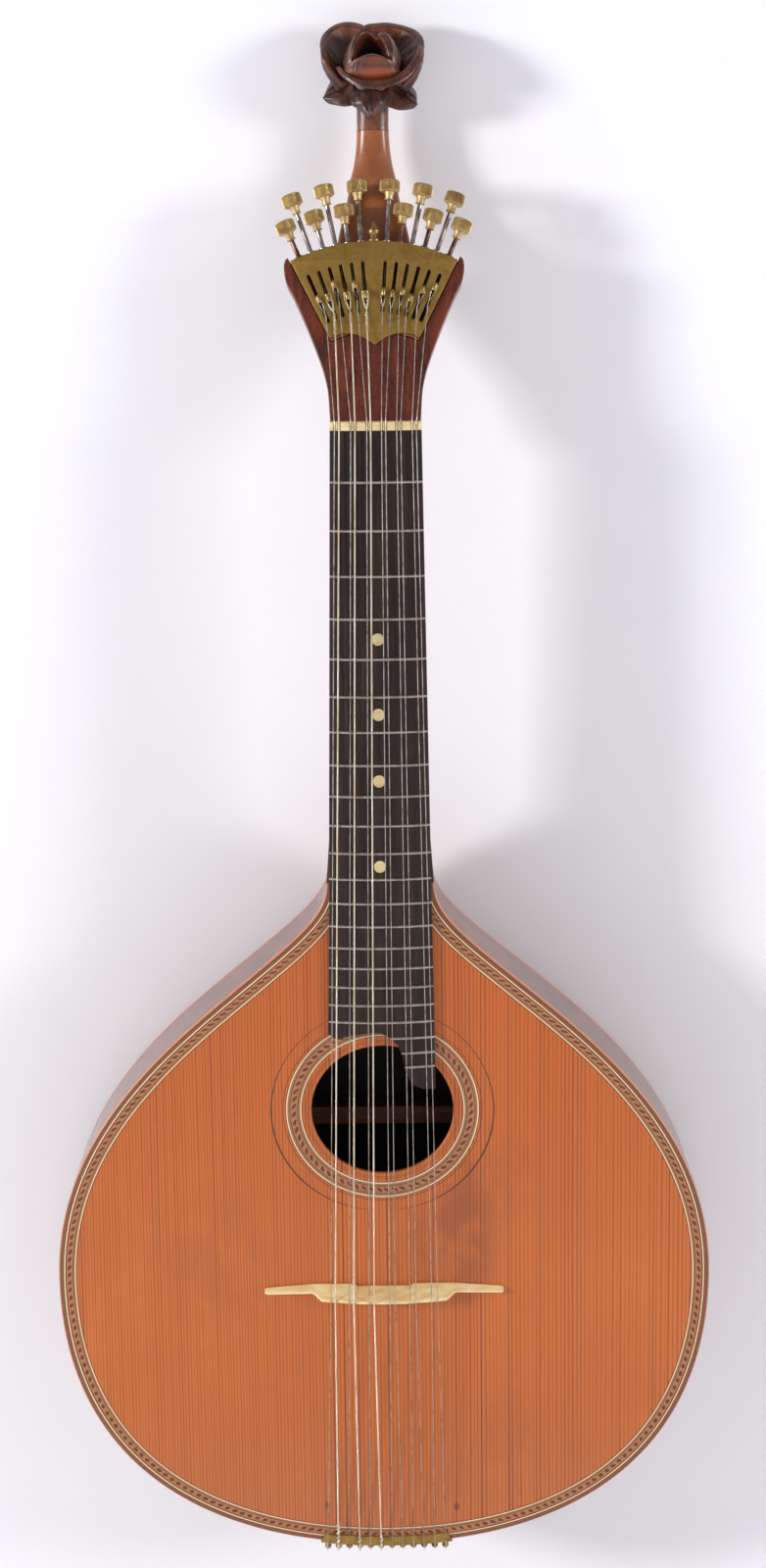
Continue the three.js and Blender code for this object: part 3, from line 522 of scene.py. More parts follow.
def figured(name, dark, middle, light, inside=None):
    """Glossy red-brown wood with dark streaks and a faint ripple.

    inside is the near-black tone of its face toward the front, inside the body, which paints shade there;
    that face is also dull, without coat.
    """
    g = Graph(name, rough=0.28, Coat_Weight=0.6, Coat_Roughness=0.07)
    streaks = g.noise((0.14, 0.14, 0.006), 4, 0.6, lumps=0.5)
    lines = g.noise((1.6, 1.6, 0.03), 4, 0.62, shift=(2, 4, 1))
    ripple = g.noise((0.02, 0.02, 0.14), 3, 0.5, shift=(5, 5, 5), lumps=0.3)
    tone = g.blend(streaks, lines, 0.6)
    base = g.ramp(tone, (0.34, dark), (0.5, middle), (0.66, light))
    base = g.mix(g.span(ripple, 0.35, 0.65, 0.0, 0.3), base, tuple(c * 1.5 for c in light))
    if inside:
        # painted shade: the face toward the front, inside the body, is coloured near black, with no coat and
        # a rough finish
        facing = g.node("SeparateXYZ", {0: g.node("NewGeometry").outputs["Normal"]}).outputs[1]
        within = g.span(facing, -0.3, -0.8)
        base = g.mix(within, base, g.mix(tone, tuple(c * 0.5 for c in inside), inside))
        g.put(g.shader.inputs["Coat Weight"], g.span(within, 0.0, 1.0, 0.6, 0.0))
        g.rough(g.span(within, 0.0, 1.0, 0.28, 0.9))
    g.color(base)
    pores = g.span(g.noise((6.0, 6.0, 0.15), 2, 0.5), 0.6, 0.7)
    g.bump(pores, 0.02)
    return g.material


def rosewood():
    """The head's streaked dark wood, paler and plain where stem is marked."""
    g = Graph("head_wood", rough=0.34, Coat_Weight=0.16, Coat_Roughness=0.22)
    streaks = g.noise((0.2, 0.2, 0.01), 4, 0.6, lumps=0.6)
    lines = g.noise((2.4, 2.4, 0.04), 4, 0.68, shift=(3, 1, 4), lumps=0.2)
    tone = g.blend(streaks, lines, 0.5)
    base = g.ramp(
        tone, (0.36, srgb(40, 16, 10)), (0.47, srgb(82, 28, 12)), (0.57, srgb(112, 42, 18)),
        (0.68, srgb(140, 62, 28)),
    )
    cloud = g.span(g.noise((0.12, 0.12, 0.03), 4, 0.6), 0.35, 0.65)
    plain = g.mix(cloud, srgb(142, 80, 42), srgb(172, 102, 58))
    plain = g.mix(g.span(lines, 0.3, 0.7, 0.25, 0.0), plain, srgb(120, 62, 34))
    g.color(g.mix(g.mark("stem"), base, plain))
    pores = g.span(g.noise((5.0, 5.0, 0.12), 2, 0.5, shift=(1, 1, 1)), 0.6, 0.72)
    g.rough(g.span(streaks, 0.3, 0.7, 0.26, 0.38))
    g.bump(pores, 0.02)
    return g.material


def stained_carving():
    """Dark stain worn to orange wood on what stands proud, brighter still as a painted highlight on lips and
    tips, and near black as painted shade in the grooves and hollows.
    """
    g = Graph("rose_wood", rough=0.3, Coat_Weight=0.3, Coat_Roughness=0.16)
    grain = g.noise((0.5, 0.5, 0.12), 4, 0.6, lumps=0.6)
    patch = g.noise((0.1, 0.1, 0.1), 4, 0.55, shift=(3, 3, 1))
    base = g.mix(g.span(grain, 0.34, 0.66), srgb(46, 22, 16), srgb(84, 42, 28))
    base = g.mix(g.span(patch, 0.5, 0.7, 0.0, 0.45), base, srgb(112, 58, 36))
    loose = g.times(g.less(patch, 0.5), 0.7)
    # worn: orange wear on proud wood, partly a painted highlight on the lips, the bud's front and the sepal
    # tips
    proud = g.span(g.plus(g.mark("worn"), loose), 0.2, 1.0, 0, 0.9)
    tone = g.mix(proud, base, srgb(146, 70, 34))
    # painted shade: near black where "deep" marks grooves, hollows and the bases of leaves
    tone = g.mix(g.times(g.mark("deep"), 0.85), tone, srgb(20, 11, 10))
    pale = g.mix(g.span(grain, 0.3, 0.7), srgb(118, 70, 48), srgb(140, 86, 58))
    g.color(g.mix(g.mark("stem"), tone, pale))
    g.rough(g.span(patch, 0.3, 0.7, 0.24, 0.4))
    g.bump(g.plus(grain, g.noise((2.5, 2.5, 2.5), 3)), 0.1)
    return g.material


def fretboard_wood():
    g = Graph("fretboard_wood", rough=0.5, Specular_IOR_Level=0.3)
    lines = g.noise((2.6, 2.6, 0.035), 4, 0.65)
    wide = g.noise((0.25, 0.25, 0.01), 3, 0.55, shift=(4, 2, 2))
    tone = g.blend(lines, wide, 0.6)
    base = g.ramp(tone, (0.34, srgb(22, 14, 13)), (0.5, srgb(38, 26, 23)), (0.68, srgb(70, 47, 37)))
    worn = g.span(g.noise((0.05, 0.05, 0.02), 4, 0.6, shift=(1, 8, 2)), 0.5, 0.72, 0.0, 0.4)
    g.color(g.mix(worn, base, srgb(66, 50, 44)))
    g.rough(g.span(lines, 0.3, 0.7, 0.42, 0.58))
    g.bump(lines, 0.04)
    return g.material


def bone(name, pale, warm):
    g = Graph(name, rough=0.35, Coat_Weight=0.15, Coat_Roughness=0.2, Subsurface_Weight=0.08,
              Subsurface_Scale=0.002)
    veins = g.noise((0.25, 0.5, 1.6), 4, 0.6, lumps=1.2)
    patch = g.noise((0.08, 0.2, 0.3), 3, 0.5, shift=(2, 8, 1))
    tone = g.mix(g.span(patch, 0.35, 0.65), pale, warm)
    g.color(g.mix(g.span(veins, 0.55, 0.72, 0.0, 0.35), tone, srgb(214, 176, 112)))
    g.bump(veins, 0.02)
    return g.material


def wound():
    g = Graph("wound_wire", rough=0.3, metal=1.0)
    ring = g.math("SINE", g.times(g.mark("along"), TAU / 0.28))
    patch = g.noise((0.3, 0.3, 0.05), 3, 0.6)
    base = g.mix(g.span(patch, 0.35, 0.7), srgb(238, 232, 214), srgb(206, 190, 158))
    # painted shade: darker bands in the grooves between the windings
    g.color(g.mix(g.span(ring, -1.0, 0.2, 0.45, 0.0), base, srgb(128, 112, 92)))
    g.bump(g.math("MULTIPLY_ADD", ring, 0.5, 0.5), 0.05)
    return g.material


SPRUCE = spruce()
BINDING = binding()
WALNUT = figured("walnut", srgb(52, 24, 16), srgb(92, 44, 26), srgb(128, 68, 40))
# its last colour is painted shade, near black, for the back's face inside the body
BACK_WALNUT = figured("back_walnut", srgb(56, 25, 17), srgb(104, 50, 30), srgb(146, 80, 48), srgb(26, 13, 10))
ROSEWOOD = rosewood()
ROSE = stained_carving()
FRETBOARD = fretboard_wood()
PALE = wood("pale_wood", srgb(84, 46, 26), srgb(118, 70, 40), srgb(150, 96, 58), LONG)
BRACE_WOOD = wood("brace_wood", srgb(74, 40, 24), srgb(104, 60, 34), srgb(136, 84, 50), (0.04, 1, 1))
BONE = bone("aged_bone", srgb(234, 212, 162), srgb(218, 188, 128))
BRIDGE_BONE = bone("bridge_bone", srgb(246, 224, 172), srgb(236, 202, 138))
DOT = bone("dot_bone", srgb(226, 206, 158), srgb(206, 180, 128))
PLATE = brass("plate_brass", srgb(182, 148, 78), srgb(140, 102, 52), srgb(206, 174, 104), 0.42, spread=0.8)
FRAME_BRASS = brass("frame_brass", srgb(166, 134, 74), srgb(138, 106, 58), srgb(196, 164, 102), 0.42,
                    spread=0.6)
KNOB = brass("knob_brass", srgb(208, 184, 132), srgb(158, 124, 80), srgb(236, 216, 168), 0.42, spread=0.9,
             metal=0.75)
SHINY = brass("worn_brass", srgb(172, 146, 92), srgb(134, 106, 66), srgb(204, 180, 124), 0.34, green=0.0)
FRET_METAL = steel("fret_metal", srgb(206, 200, 186), srgb(170, 158, 138), 0.3)
SCREW_METAL = steel("screw_metal", srgb(176, 168, 162), srgb(128, 108, 98), 0.26, LONG)
RUSTY_METAL = steel("rusty_metal", srgb(132, 100, 88), srgb(86, 58, 50), 0.36, LONG)
PLAIN_WIRE = steel("plain_wire", srgb(190, 184, 174), srgb(146, 136, 122), 0.3, LONG)
WOUND_WIRE = wound()


# body

SEAT = 0.3
TOP, LENGTH, HALF, SHOULDER = -238.0, 377.2, 177.0, 28.4
JOINT_DEPTH, TAIL_DEPTH = 50.0, 88.0
SIDE = (
    ((0.1605, 0.0529), (0.2682, 0.0849), (0.5202, 0.1861)),
    ((0.7749, 0.2884), (1, 0.4088), (1, 0.5833)),
    ((1, 0.8722), (0.5612, 1), (0, 1)),
)


def back_at(z, offset=0.0):
    return JOINT_DEPTH + (TAIL_DEPTH - JOINT_DEPTH) / LENGTH * (TOP - z) - offset


def side_vector(share):
    return Vector((HALF * share[0], TOP - LENGTH * share[1]))


def edge_point(p, t, inset):
    """A point at a share of a cubic curve, moved inward."""
    u = 1 - t
    point = p[0] * u ** 3 + p[1] * 3 * u * u * t + p[2] * 3 * u * t * t + p[3] * t ** 3
    way = ((p[1] - p[0]) * u * u + (p[2] - p[1]) * 2 * u * t + (p[3] - p[2]) * t * t).normalized()
    return Vector((point.x + inset * way.y, point.y - inset * way.x))


def side_points(inset, counts=(24, 30, 46)):
    """The treble side from the neck to the tail, moved inward, as x and z."""
    out = []
    at = Vector((SHOULDER, TOP))
    for curve, count in zip(SIDE, counts):
        p = [at] + [side_vector(share) for share in curve]
        out += [edge_point(p, i / count, inset) for i in range(1 if out else 0, count + 1)]
        at = p[3]
    out[0].y = TOP - SEAT
    out[-1].x = 0.0
    return out


def outline(inset):
    """The whole outline, with how far each point lies from the tail along the edge."""
    treble = side_points(inset)
    far = [0.0]
    for a, b in zip(treble[::-1], treble[::-1][1:]):
        far.append(far[-1] + (a - b).length)
    far.reverse()
    points = [(p.x, p.y) for p in treble] + [(-p.x, p.y) for p in treble[-2::-1]]
    return points, far + far[-2::-1]


def ring_round(out_by, count=120):
    """Points round the sound hole."""
    middle, wide, tall = HOLE
    angles = [TAU * i / count for i in range(count)]
    return [((wide + out_by) * math.sin(a), middle + (tall + out_by) * math.cos(a)) for a in angles]


# how far the soundboard's rows of points lie inside the outline and outside the sound hole, the mark away
# from both, and the soundboard's thickness
AWAY, TOP_THICK = 60.0, 2.6
EDGE_ROWS = (2.5, 2.75, 3.5, 4.2, 5.2, 6.2, 7.0, 7.7, 8.6, 9.4, 10.0, 12.0)
HOLE_ROWS = (0.0, 0.3, 1.7, 3.0, 4.8, 5.6, 6.8, 8.0, 9.5, 10.6, 11.8, 12.7, 14.2, 16.0, 20.0, 21.0)


def soundboard():
    b = Build()
    n = len(outline(0)[0])

    def flat(points, y):
        return [(x, y, z) for x, z in points]

    edges = []
    for k, inset in enumerate(EDGE_ROWS):
        points, far = outline(inset)
        y = 0.12 if k == 0 else 0.0
        edges.append(b.add(flat(points, y), edge=[inset] * n, along=far, hole=[AWAY] * n))
    rings = []
    for k, out_by in enumerate(HOLE_ROWS):
        points = ring_round(out_by)
        m = len(points)
        y = 0.25 if k == 0 else 0.0
        rings.append(b.add(flat(points, y), edge=[AWAY] * m, along=[0.0] * m, hole=[out_by] * m))
    b.strips(edges)
    b.strips(rings)
    b.fill([edges[-1], rings[-1]])
    outer = b.add(flat(outline(2.5)[0], TOP_THICK), edge=[AWAY] * n, hole=[AWAY] * n)
    inner = b.add(flat(ring_round(0.0), TOP_THICK), edge=[AWAY] * m, hole=[AWAY] * m)
    b.strip(edges[0], outer)
    b.strip(rings[0], inner)
    b.fill([outer, inner], flip=True)
    b.make("soundboard_plate", SPRUCE, nodes=["soundboard"], slot="soundboard")


def edge_strip(name, node, levels):
    """A binding: a strip 2.2 mm wide along the outline between two levels, each a function of z."""
    b = Build()
    section = ((2.2, 0, 0.0), (0.35, 0, 0.0), (0.0, 0, 0.35), (0.0, 1, -0.35), (0.35, 1, 0.0), (2.2, 1, 0.0))
    rings = []
    for inset, which, off in section:
        points, _ = outline(inset)
        n = len(points)
        rings.append(b.add([(x, levels[which](z) + off, z) for x, z in points], edge=[inset] * n))
    rings.append(rings[0])
    b.strips(rings)
    b.make(name, BINDING, nodes=[node], slot="bindings", sharp=50)


def rib(side, name, node):
    b = Build()
    rings = []
    for inset in (0.0, 2.4):
        points = side_points(inset)
        points[-1].x = SEAT / 2
        for deep in ((0, 0.5, 1) if inset == 0 else (1, 0)):
            rings.append(b.add([
                (side * p.x, lerp(5.3, back_at(p.y, 4.3), deep), p.y) for p in points
            ]))
    b.strips(rings + rings[:1], closed=False)
    b.face([r[0] for r in rings])
    b.face([r[-1] for r in rings])
    b.make(name, WALNUT, nodes=[node], slot="ribs", sharp=50)


def back_plate():
    b = Build()
    points, _ = outline(2.5)
    rings = [b.add([(x, back_at(z, off), z) for x, z in points]) for off in (3.0, 0.25)]
    points, _ = outline(2.75)
    rings.append(b.add([(x, back_at(z), z) for x, z in points]))
    b.strips(rings)
    b.fill([rings[0]])
    b.fill([rings[-1]], flip=True)
    b.make("back_board", BACK_WALNUT, nodes=["back_plate"], slot="back_plate")
    # the light strip down the joint of the two halves
    s = Build()
    low, high = TOP - LENGTH + 3.2, TOP - 3.0
    s.loft([[(x, back_at(z, off), z) for x, off in ((-1.4, 0.3), (1.4, 0.3), (1.2, -0.0), (-1.2, -0.0))]
            for z in (low, (low + high) / 2, high)])
    s.make("back_centre_strip", PALE)


soundboard()
edge_strip("front_binding", "top_binding", (lambda z: 0.0, lambda z: 5.0))
edge_strip("rear_binding", "back_binding", (lambda z: back_at(z, 4.0), back_at))
rib(1, "rib_treble", "rib_treble_side")
rib(-1, "rib_bass", "rib_bass_side")
back_plate()
for node in ("lining_top", "lining_back", "neck_block", "tail_block"):
    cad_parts[node].data.materials[0] = PALE
for node in ("top_brace_upper", "top_brace_lower", "back_brace_upper", "back_brace_middle",
             "back_brace_lower"):
    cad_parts[node].data.materials[0] = BRACE_WOOD


# neck, head and rose

TILT = math.radians(12)


def head(p):
    """From the head's own frame, across, into the wood and up its face, to the scene's frame."""
    x, deep, up = p
    c, s = math.cos(TILT), math.sin(TILT)
    return x, 2.0 + deep * c + up * s, 4.6 - deep * s + up * c


def fan(p):
    """From the fan's frame, whose origin is where the screws meet, to the scene's frame."""
    return head((p[0], p[1], p[2] - 4.0))


SHAFT = (
    (0, 1, 0.25), (0.018, 0.985, 0.33), (0.05, 0.88, 0.5), (0.1, 0.58, 0.67), (0.15, 0.34, 0.83),
    (0.2, 0.21, 0.91), (0.6, 0.1, 0.95), (0.97, 0.01, 0.95), (1, 0, 0.95),
)
CHEEK = (
    (0.502, -0.04), (0.506, 0.02), (0.541, 0.238), (0.671, 0.464), (0.866, 0.726), (0.972, 0.845),
    (1, 0.925), (0.99, 0.975), (0.955, 0.995), (0.9, 0.985), (0.75, 1), (0.6, 1.03), (0.44, 1.05),
)
STEM = (
    (0.489, 1.06, 0.64, 1), (0.556, 0.95, 0.68, 1.18), (0.607, 0.84, 0.76, 1.41), (0.657, 0.73, 0.84, 1.6),
    (0.713, 0.645, 0.87, 1.69), (0.758, 0.545, 0.86, 1.7), (0.803, 0.478, 0.82, 1.68),
    (0.854, 0.442, 0.72, 1.6), (0.91, 0.44, 0.58, 1.45), (0.955, 0.455, 0.46, 1.3), (1, 0.42, 0.38, 1.15),
)
STEM_TOP, ROSE_JOINT = 178.0, 152.0
FRETBOARD_LENGTH = 320.0
SCALE, FRETS, STRINGS = 470.0, 22, 12


def board_half(z):
    return 23.5 - 4.7 * z / FRETBOARD_LENGTH


def shaft_rings():
    rings = []
    stations = catmull(SHAFT, 6)
    for along, deep, soft in stations:
        along, deep = min(max(along, 0), 1), min(max(deep, 0), 1)
        z = TOP + (4.6 - TOP) * along
        half = board_half(z) + (SHOULDER - board_half(TOP)) * (1 - min(1, along / 0.1))
        if along > 0.2:
            depth = 19 + 6.5 * (1 - along) / 0.8
        else:
            depth = 25.5 + 24.5 * max(0.0, (deep - 0.21) / 0.79)
        rings.append([
            (half * rounded(math.cos(math.pi * k / 24), soft),
             depth * rounded(max(0.0, math.sin(math.pi * k / 24)), soft), z)
            for k in range(25)
        ])
    return rings


def stem_ring(station):
    along, across, front, back = station
    return [
        (18.8 * across * rounded(math.cos(a), 0.77),
         8.5 * (front + back + (back - front) * rounded(math.sin(a), 0.77)), STEM_TOP * along)
        for a in (TAU * k / 28 for k in range(28))
    ]


def stem_stations(low, high):
    """The stem's stations between two heights, with one at each end."""
    fine = catmull(STEM, 40)
    inside = [s for s in catmull(STEM, 6) if low + 0.5 < s[0] * STEM_TOP < high - 0.5]
    ends = []
    for at in (low, high):
        near = min(fine, key=lambda s: abs(s[0] * STEM_TOP - at))
        ends.append((at / STEM_TOP,) + tuple(near[1:]))
    return [ends[0]] + inside + [ends[1]]


def cheek_line():
    return [(x * 46.2, z * 84.0) for x, z in catmull(CHEEK, 5)]


def head_wood():
    """The head: a plate with a pocket for the fan between two cheeks."""
    b = Build()
    cheek = cheek_line()
    # where the pocket's side leaves the plate, in the fan's polar frame
    slope = math.tan(math.radians(26.4) + SEAT / 50)
    cut = [i for i, (x, z) in enumerate(cheek) if x < (z + 4) * slope and i > 6][0]
    outer = cheek[:cut]
    corner = ((cheek[cut][1] + 4) * slope, cheek[cut][1])
    arc = []
    half = math.atan(slope)
    for k in range(17):
        a = lerp(half, -half, k / 16)
        arc.append((49.7 * math.sin(a), 49.7 * math.cos(a) - 4))
    front = outer + [corner] + arc + [(-corner[0], corner[1])] + [(-x, z) for x, z in outer[::-1]]
    full = cheek + [(-x, z) for x, z in cheek[::-1]]
    floor = 10.6
    rim = 0.5

    def shrink(points, by):
        n = len(points)
        out = []
        for i in range(n):
            a, c = Vector(points[i - 1]), Vector(points[(i + 1) % n])
            way = (c - a).normalized()
            out.append((points[i][0] - way.y * by, points[i][1] + way.x * by))
        return out

    def layers(points, steps):
        """Layers of an outline, each shrunk and at a depth, joined, with the first one filled."""
        ids = [b.add([head((x, deep, z)) for x, z in shrink(points, by)]) for by, deep in steps]
        b.strips(ids)
        b.fill([ids[0]])
        return ids

    layers(front, ((rim, 0.0), (0.0, rim), (0.0, floor)))
    last = layers(full, ((0.0, floor), (0.0, 15.0), (0.6, 16.4), (2.0, 17.0)))[-1]
    b.fill([last], flip=True)
    return b


def neck():
    b = head_wood()
    b.loft(shaft_rings())
    stations = stem_stations(STEM[0][0] * STEM_TOP, ROSE_JOINT)
    pale = [[smooth((s[0] * STEM_TOP - 76) / 40)] * 28 for s in stations]
    b.loft([[head(p) for p in stem_ring(s)] for s in stations], stem=pale)
    b.make("neck_and_head", ROSEWOOD, nodes=["neck"], slot="neck", sharp=40)


ROSE_LEAN = math.radians(57)


def rose_place(p):
    """From the rose's own frame, leaned toward the front on its base, to the scene's frame."""
    x, y, z = p
    c, s = math.cos(ROSE_LEAN), math.sin(ROSE_LEAN)
    return head((x, 16 + y * c - z * s, 174 + y * s + z * c))


# Petals: rim and lip, its outer and inner edges, as angle from the front, distance from the axis and height.
LEFT_RIM = (
    (-64, 17.0, 9), (-72, 20.8, 14.5), (-81, 24.0, 18.8), (-90, 25.8, 21.2), (-100, 26.7, 22),
    (-111, 28.6, 22), (-122, 30.1, 22), (-134, 30.7, 22), (-146, 30.4, 22), (-155, 28.9, 22),
    (-164, 26.2, 22), (-172, 23.2, 21.6), (-181, 19.8, 19.8), (-190, 16.8, 16.5),
)
LEFT_LIP = (
    (-65, 15.4, 8.8), (-72, 18.6, 14), (-79, 21.4, 18.4), (-88, 22.9, 21), (-97, 23.8, 21.8),
    (-108, 25.4, 22), (-119, 26.9, 22), (-131, 27.4, 22), (-142, 26.6, 22), (-150, 24.7, 22),
    (-159, 21.6, 22), (-166, 19.0, 21.4), (-176, 16.2, 19.2), (-187, 13.8, 16),
)
RIGHT_RIM = (
    (208, 25, 13), (198, 24.6, 18.5), (188, 24.3, 21.7), (173, 25.3, 22), (165, 26.4, 22), (152, 27.4, 22),
    (141, 28.6, 22), (130, 29.9, 22), (121, 29.8, 22), (112, 29.0, 22), (101, 27.2, 21.8), (89, 26.2, 21),
    (78, 24.6, 19), (68, 21.8, 14.5), (60, 18.0, 9),
)
RIGHT_LIP = (
    (204, 21.4, 12.5), (195, 20.5, 18), (185, 20.1, 21.3), (172, 20.3, 22), (161, 21.9, 22),
    (148, 23.6, 22), (136, 25.0, 22), (127, 25.6, 22), (119, 25.4, 22), (110, 24.8, 22), (99, 23.4, 21.4),
    (88, 22.4, 20.5), (78, 21.6, 18.6), (69, 19.4, 14), (61, 16.2, 8.8),
)
FRONT_RIM = (
    (-96, 19.6, 12), (-84, 19.0, 16.5), (-72, 18.9, 18.6), (-59, 19.1, 19), (-40, 19.4, 19),
    (-22, 20.0, 19), (-4, 20.5, 19), (14, 20.9, 19), (29, 21.5, 19.2), (44, 22.4, 19.6), (60, 23.4, 20.4),
    (75, 24.3, 21.4), (92, 25.8, 22.4), (105, 26.6, 22.4), (116, 26.4, 20.5),
)
FRONT_LIP = (
    (-94, 17.3, 12.5), (-83, 16.8, 17), (-72, 16.9, 19.8), (-60, 17.1, 20.8), (-44, 17.0, 21),
    (-25, 16.5, 21), (-5, 16.1, 21), (14, 16.3, 21), (29, 17.1, 21), (45, 18.0, 21.2), (61, 19.0, 21.6),
    (76, 20.4, 22.2), (91, 22.3, 22.7), (103, 23.7, 22.3), (113, 23.9, 20),
)
BUD_LEFT_RIM = (
    (-50, 13.8, 23.5), (-62, 12.6, 26.6), (-80, 11.0, 29), (-101, 10.0, 30.2), (-122, 10.0, 30.8),
    (-145, 10.6, 31.1), (-163, 10.8, 31.1), (-180, 9.9, 30.7), (-203, 7.8, 28.8),
)
BUD_LEFT_LIP = (
    (-50, 12.0, 23), (-62, 10.8, 25.8), (-80, 9.0, 28), (-101, 8.0, 29.2), (-122, 7.9, 29.8),
    (-145, 8.4, 30.2), (-163, 8.5, 30.2), (-180, 7.5, 29.6), (-203, 5.7, 27.2),
)
BUD_RIGHT_RIM = (
    (164, 8.6, 28.2), (150, 9.6, 30.2), (136, 10.3, 30.8), (115, 10.4, 30.7), (92, 10.6, 30),
    (70, 11.6, 28.2), (58, 12.8, 26), (48, 13.8, 23.5),
)
BUD_RIGHT_LIP = (
    (162, 6.0, 27.0), (150, 6.4, 29.3), (136, 6.2, 30.0), (115, 5.9, 30.0), (92, 6.2, 29.4),
    (70, 7.6, 28.0), (58, 9.2, 26.4), (48, 10.8, 24.0),
)
BUD_FRONT_RIM = (
    (-66, 14.6, 21.5), (-56, 14.6, 24.4), (-46, 13.8, 26.8), (-38, 12.2, 28.6), (-26, 10.4, 29.7),
    (0, 9.4, 30.1), (26, 10.5, 29.7), (38, 12.3, 28.6), (46, 13.8, 26.8), (54, 14.6, 24.4),
    (62, 14.6, 21.5),
)
BUD_FRONT_LIP = (
    (-64, 12.6, 21), (-54, 12.4, 23.8), (-46, 11.6, 26.2), (-38, 9.8, 28.0), (-24, 7.8, 29.1),
    (0, 6.8, 29.6), (24, 7.9, 29.1), (38, 9.9, 28.0), (46, 11.6, 26.2), (53, 12.4, 23.8), (60, 12.6, 21),
)


def polar(p):
    a = math.radians(p[0])
    return Vector((p[1] * math.sin(a), -p[1] * math.cos(a), p[2]))


def petal(b, rim, lip, foot, floor, swell, hollow, proud=(0.2, 0.4), seed=0.0, groove=0.4):
    """A carved petal: an outer face from foot to rim, a rounded lip, and an inner face down to the floor.

    foot and floor are a distance from the axis and a height, swell and hollow push the two faces out, and
    groove runs under the rim.
    """
    outside, lip_line = catmull(rim, 6), catmull(lip, 6)
    faces, bands = 16, 6
    rows = []
    for k, (edge, inner) in enumerate(zip(outside, lip_line)):
        top, low_lip = polar(edge), polar(inner)
        out = Vector((top.x, top.y, 0)).normalized()
        start, end = out * foot[0] + Vector((0, 0, foot[1])), out * floor[0] + Vector((0, 0, floor[1]))
        row, worn, deep = [], [], []
        for j in range(faces):
            t = j / faces
            under = math.exp(-((t - 0.84) / 0.07) ** 2)
            p = start.lerp(top, t) + out * (swell * math.sin(math.pi * t) ** 0.9 - groove * under)
            slow = 0.22 * math.sin(k * 0.31 + seed) * math.sin(math.pi * t)
            p += out * (slow + 0.1 * math.sin(k * 1.3 + 9 * t))
            row.append(p)
            middle = 0.5 + 0.5 * math.sin(math.pi * t)
            worn.append(proud[0] * middle * (0.8 + 0.2 * math.sin(k * 0.2 + seed)))
            # deep: painted shade low on the outer face and in the groove under the rim
            deep.append(max(0.8 * smooth((0.4 - t) / 0.4), 0.8 * under))
        across = low_lip - top
        for j in range(bands + 1):
            t = j / bands
            lift = 0.95 * math.sin(math.pi * t) ** 0.6 - 0.32 * math.exp(-((t - 0.5) / 0.16) ** 2)
            row.append(top + across * t + Vector((0, 0, lift)))
            # worn: painted highlight along the lip's two edges and its middle, with some wear
            worn.append(0.34 + 0.3 * math.cos(4 * math.pi * t) + 0.12 * math.sin(k * 0.4 + seed))
            # deep: painted shade along the groove in the middle of the lip
            deep.append(0.35 * math.exp(-((t - 0.5) / 0.2) ** 2))
        for j in range(1, faces + 1):
            t = j / faces
            p = low_lip.lerp(end, t) + out * hollow * math.sin(math.pi * t)
            p += out * 0.12 * math.sin(k * 0.9 + 7 * t + seed)
            row.append(p)
            worn.append(proud[1] * (1 - smooth(t / 0.6)))
            # deep: painted shade growing down into the cup
            deep.append(smooth((t - 0.3) / 0.55))
        rows.append((row, worn, deep))
    b.loft([[rose_place(p) for p in row] for row, _, _ in rows], worn=[w for _, w, _ in rows],
           deep=[d for _, _, d in rows])


def sepal(b, centre, tip, half):
    """A pointed leaf under the cup, standing off at its tip, with a ridge and veins."""
    across, along = 18, 24
    path = catmull(((8.0, 9.0), (10.5, 9.4), (13.5, 8.4), (17.0, 6.6), (tip - 3.5, 4.9), (tip, 3.2)), 5)
    turn = Matrix.Rotation(math.radians(centre), 3, "Z")
    top, low, worn, deep = [], [], [], []
    for j in range(along + 1):
        t = j / along
        out, base = path[min(len(path) - 1, round(t * (len(path) - 1)))]
        if t < 0.5:
            wide = half * (0.7 + 0.3 * math.sin(math.pi * t))
        else:
            wide = half * (1 - (2 * t - 1) ** 1.35) + 0.35
        wide *= 1 + 0.06 * math.sin(t * 19 + centre) * smooth(t * 3)
        rows = [], [], [], []
        for i in range(across + 1):
            s = 2 * i / across - 1
            vein = math.cos(8.5 * abs(s) - 6 * t) * (1 - s * s) * smooth(4 * t) * smooth(4 * (1 - t))
            rise = 0.9 * (1 - abs(s)) ** 1.5 + 0.55 * vein - 1.5 * abs(s) ** 2.4
            p = Vector((wide * s, -out + 1.2 * s * s, base + rise))
            rows[0].append(rose_place(turn @ p))
            rows[1].append(rose_place(turn @ (p - Vector((0, -0.6, 2.4 * (1 - 0.5 * t))))))
            # worn: wear on the proud veins and a painted highlight at the leaf's tip
            rows[2].append(0.04 + 0.3 * max(0.0, vein) + 0.3 * smooth((t - 0.9) / 0.08))
            # deep: painted shade at the leaf's base and along the grooves between its veins
            rows[3].append(0.2 + 0.6 * smooth((0.5 - t) / 0.3) + 0.35 * max(0.0, -vein))
        for keep, row in zip((top, low, worn, deep), rows):
            keep.append(row)
    top = [b.add(row, worn=w, deep=d) for row, w, d in zip(top, worn, deep)]
    low = [b.add(row, worn=w, deep=d) for row, w, d in zip(low, worn, deep)]
    b.strips(top, closed=False)
    b.strips(low, closed=False)
    for k in (0, across):
        b.strip([r[k] for r in top], [r[k] for r in low], closed=False)
    for k in (0, along):
        b.strip(top[k], low[k], closed=False)


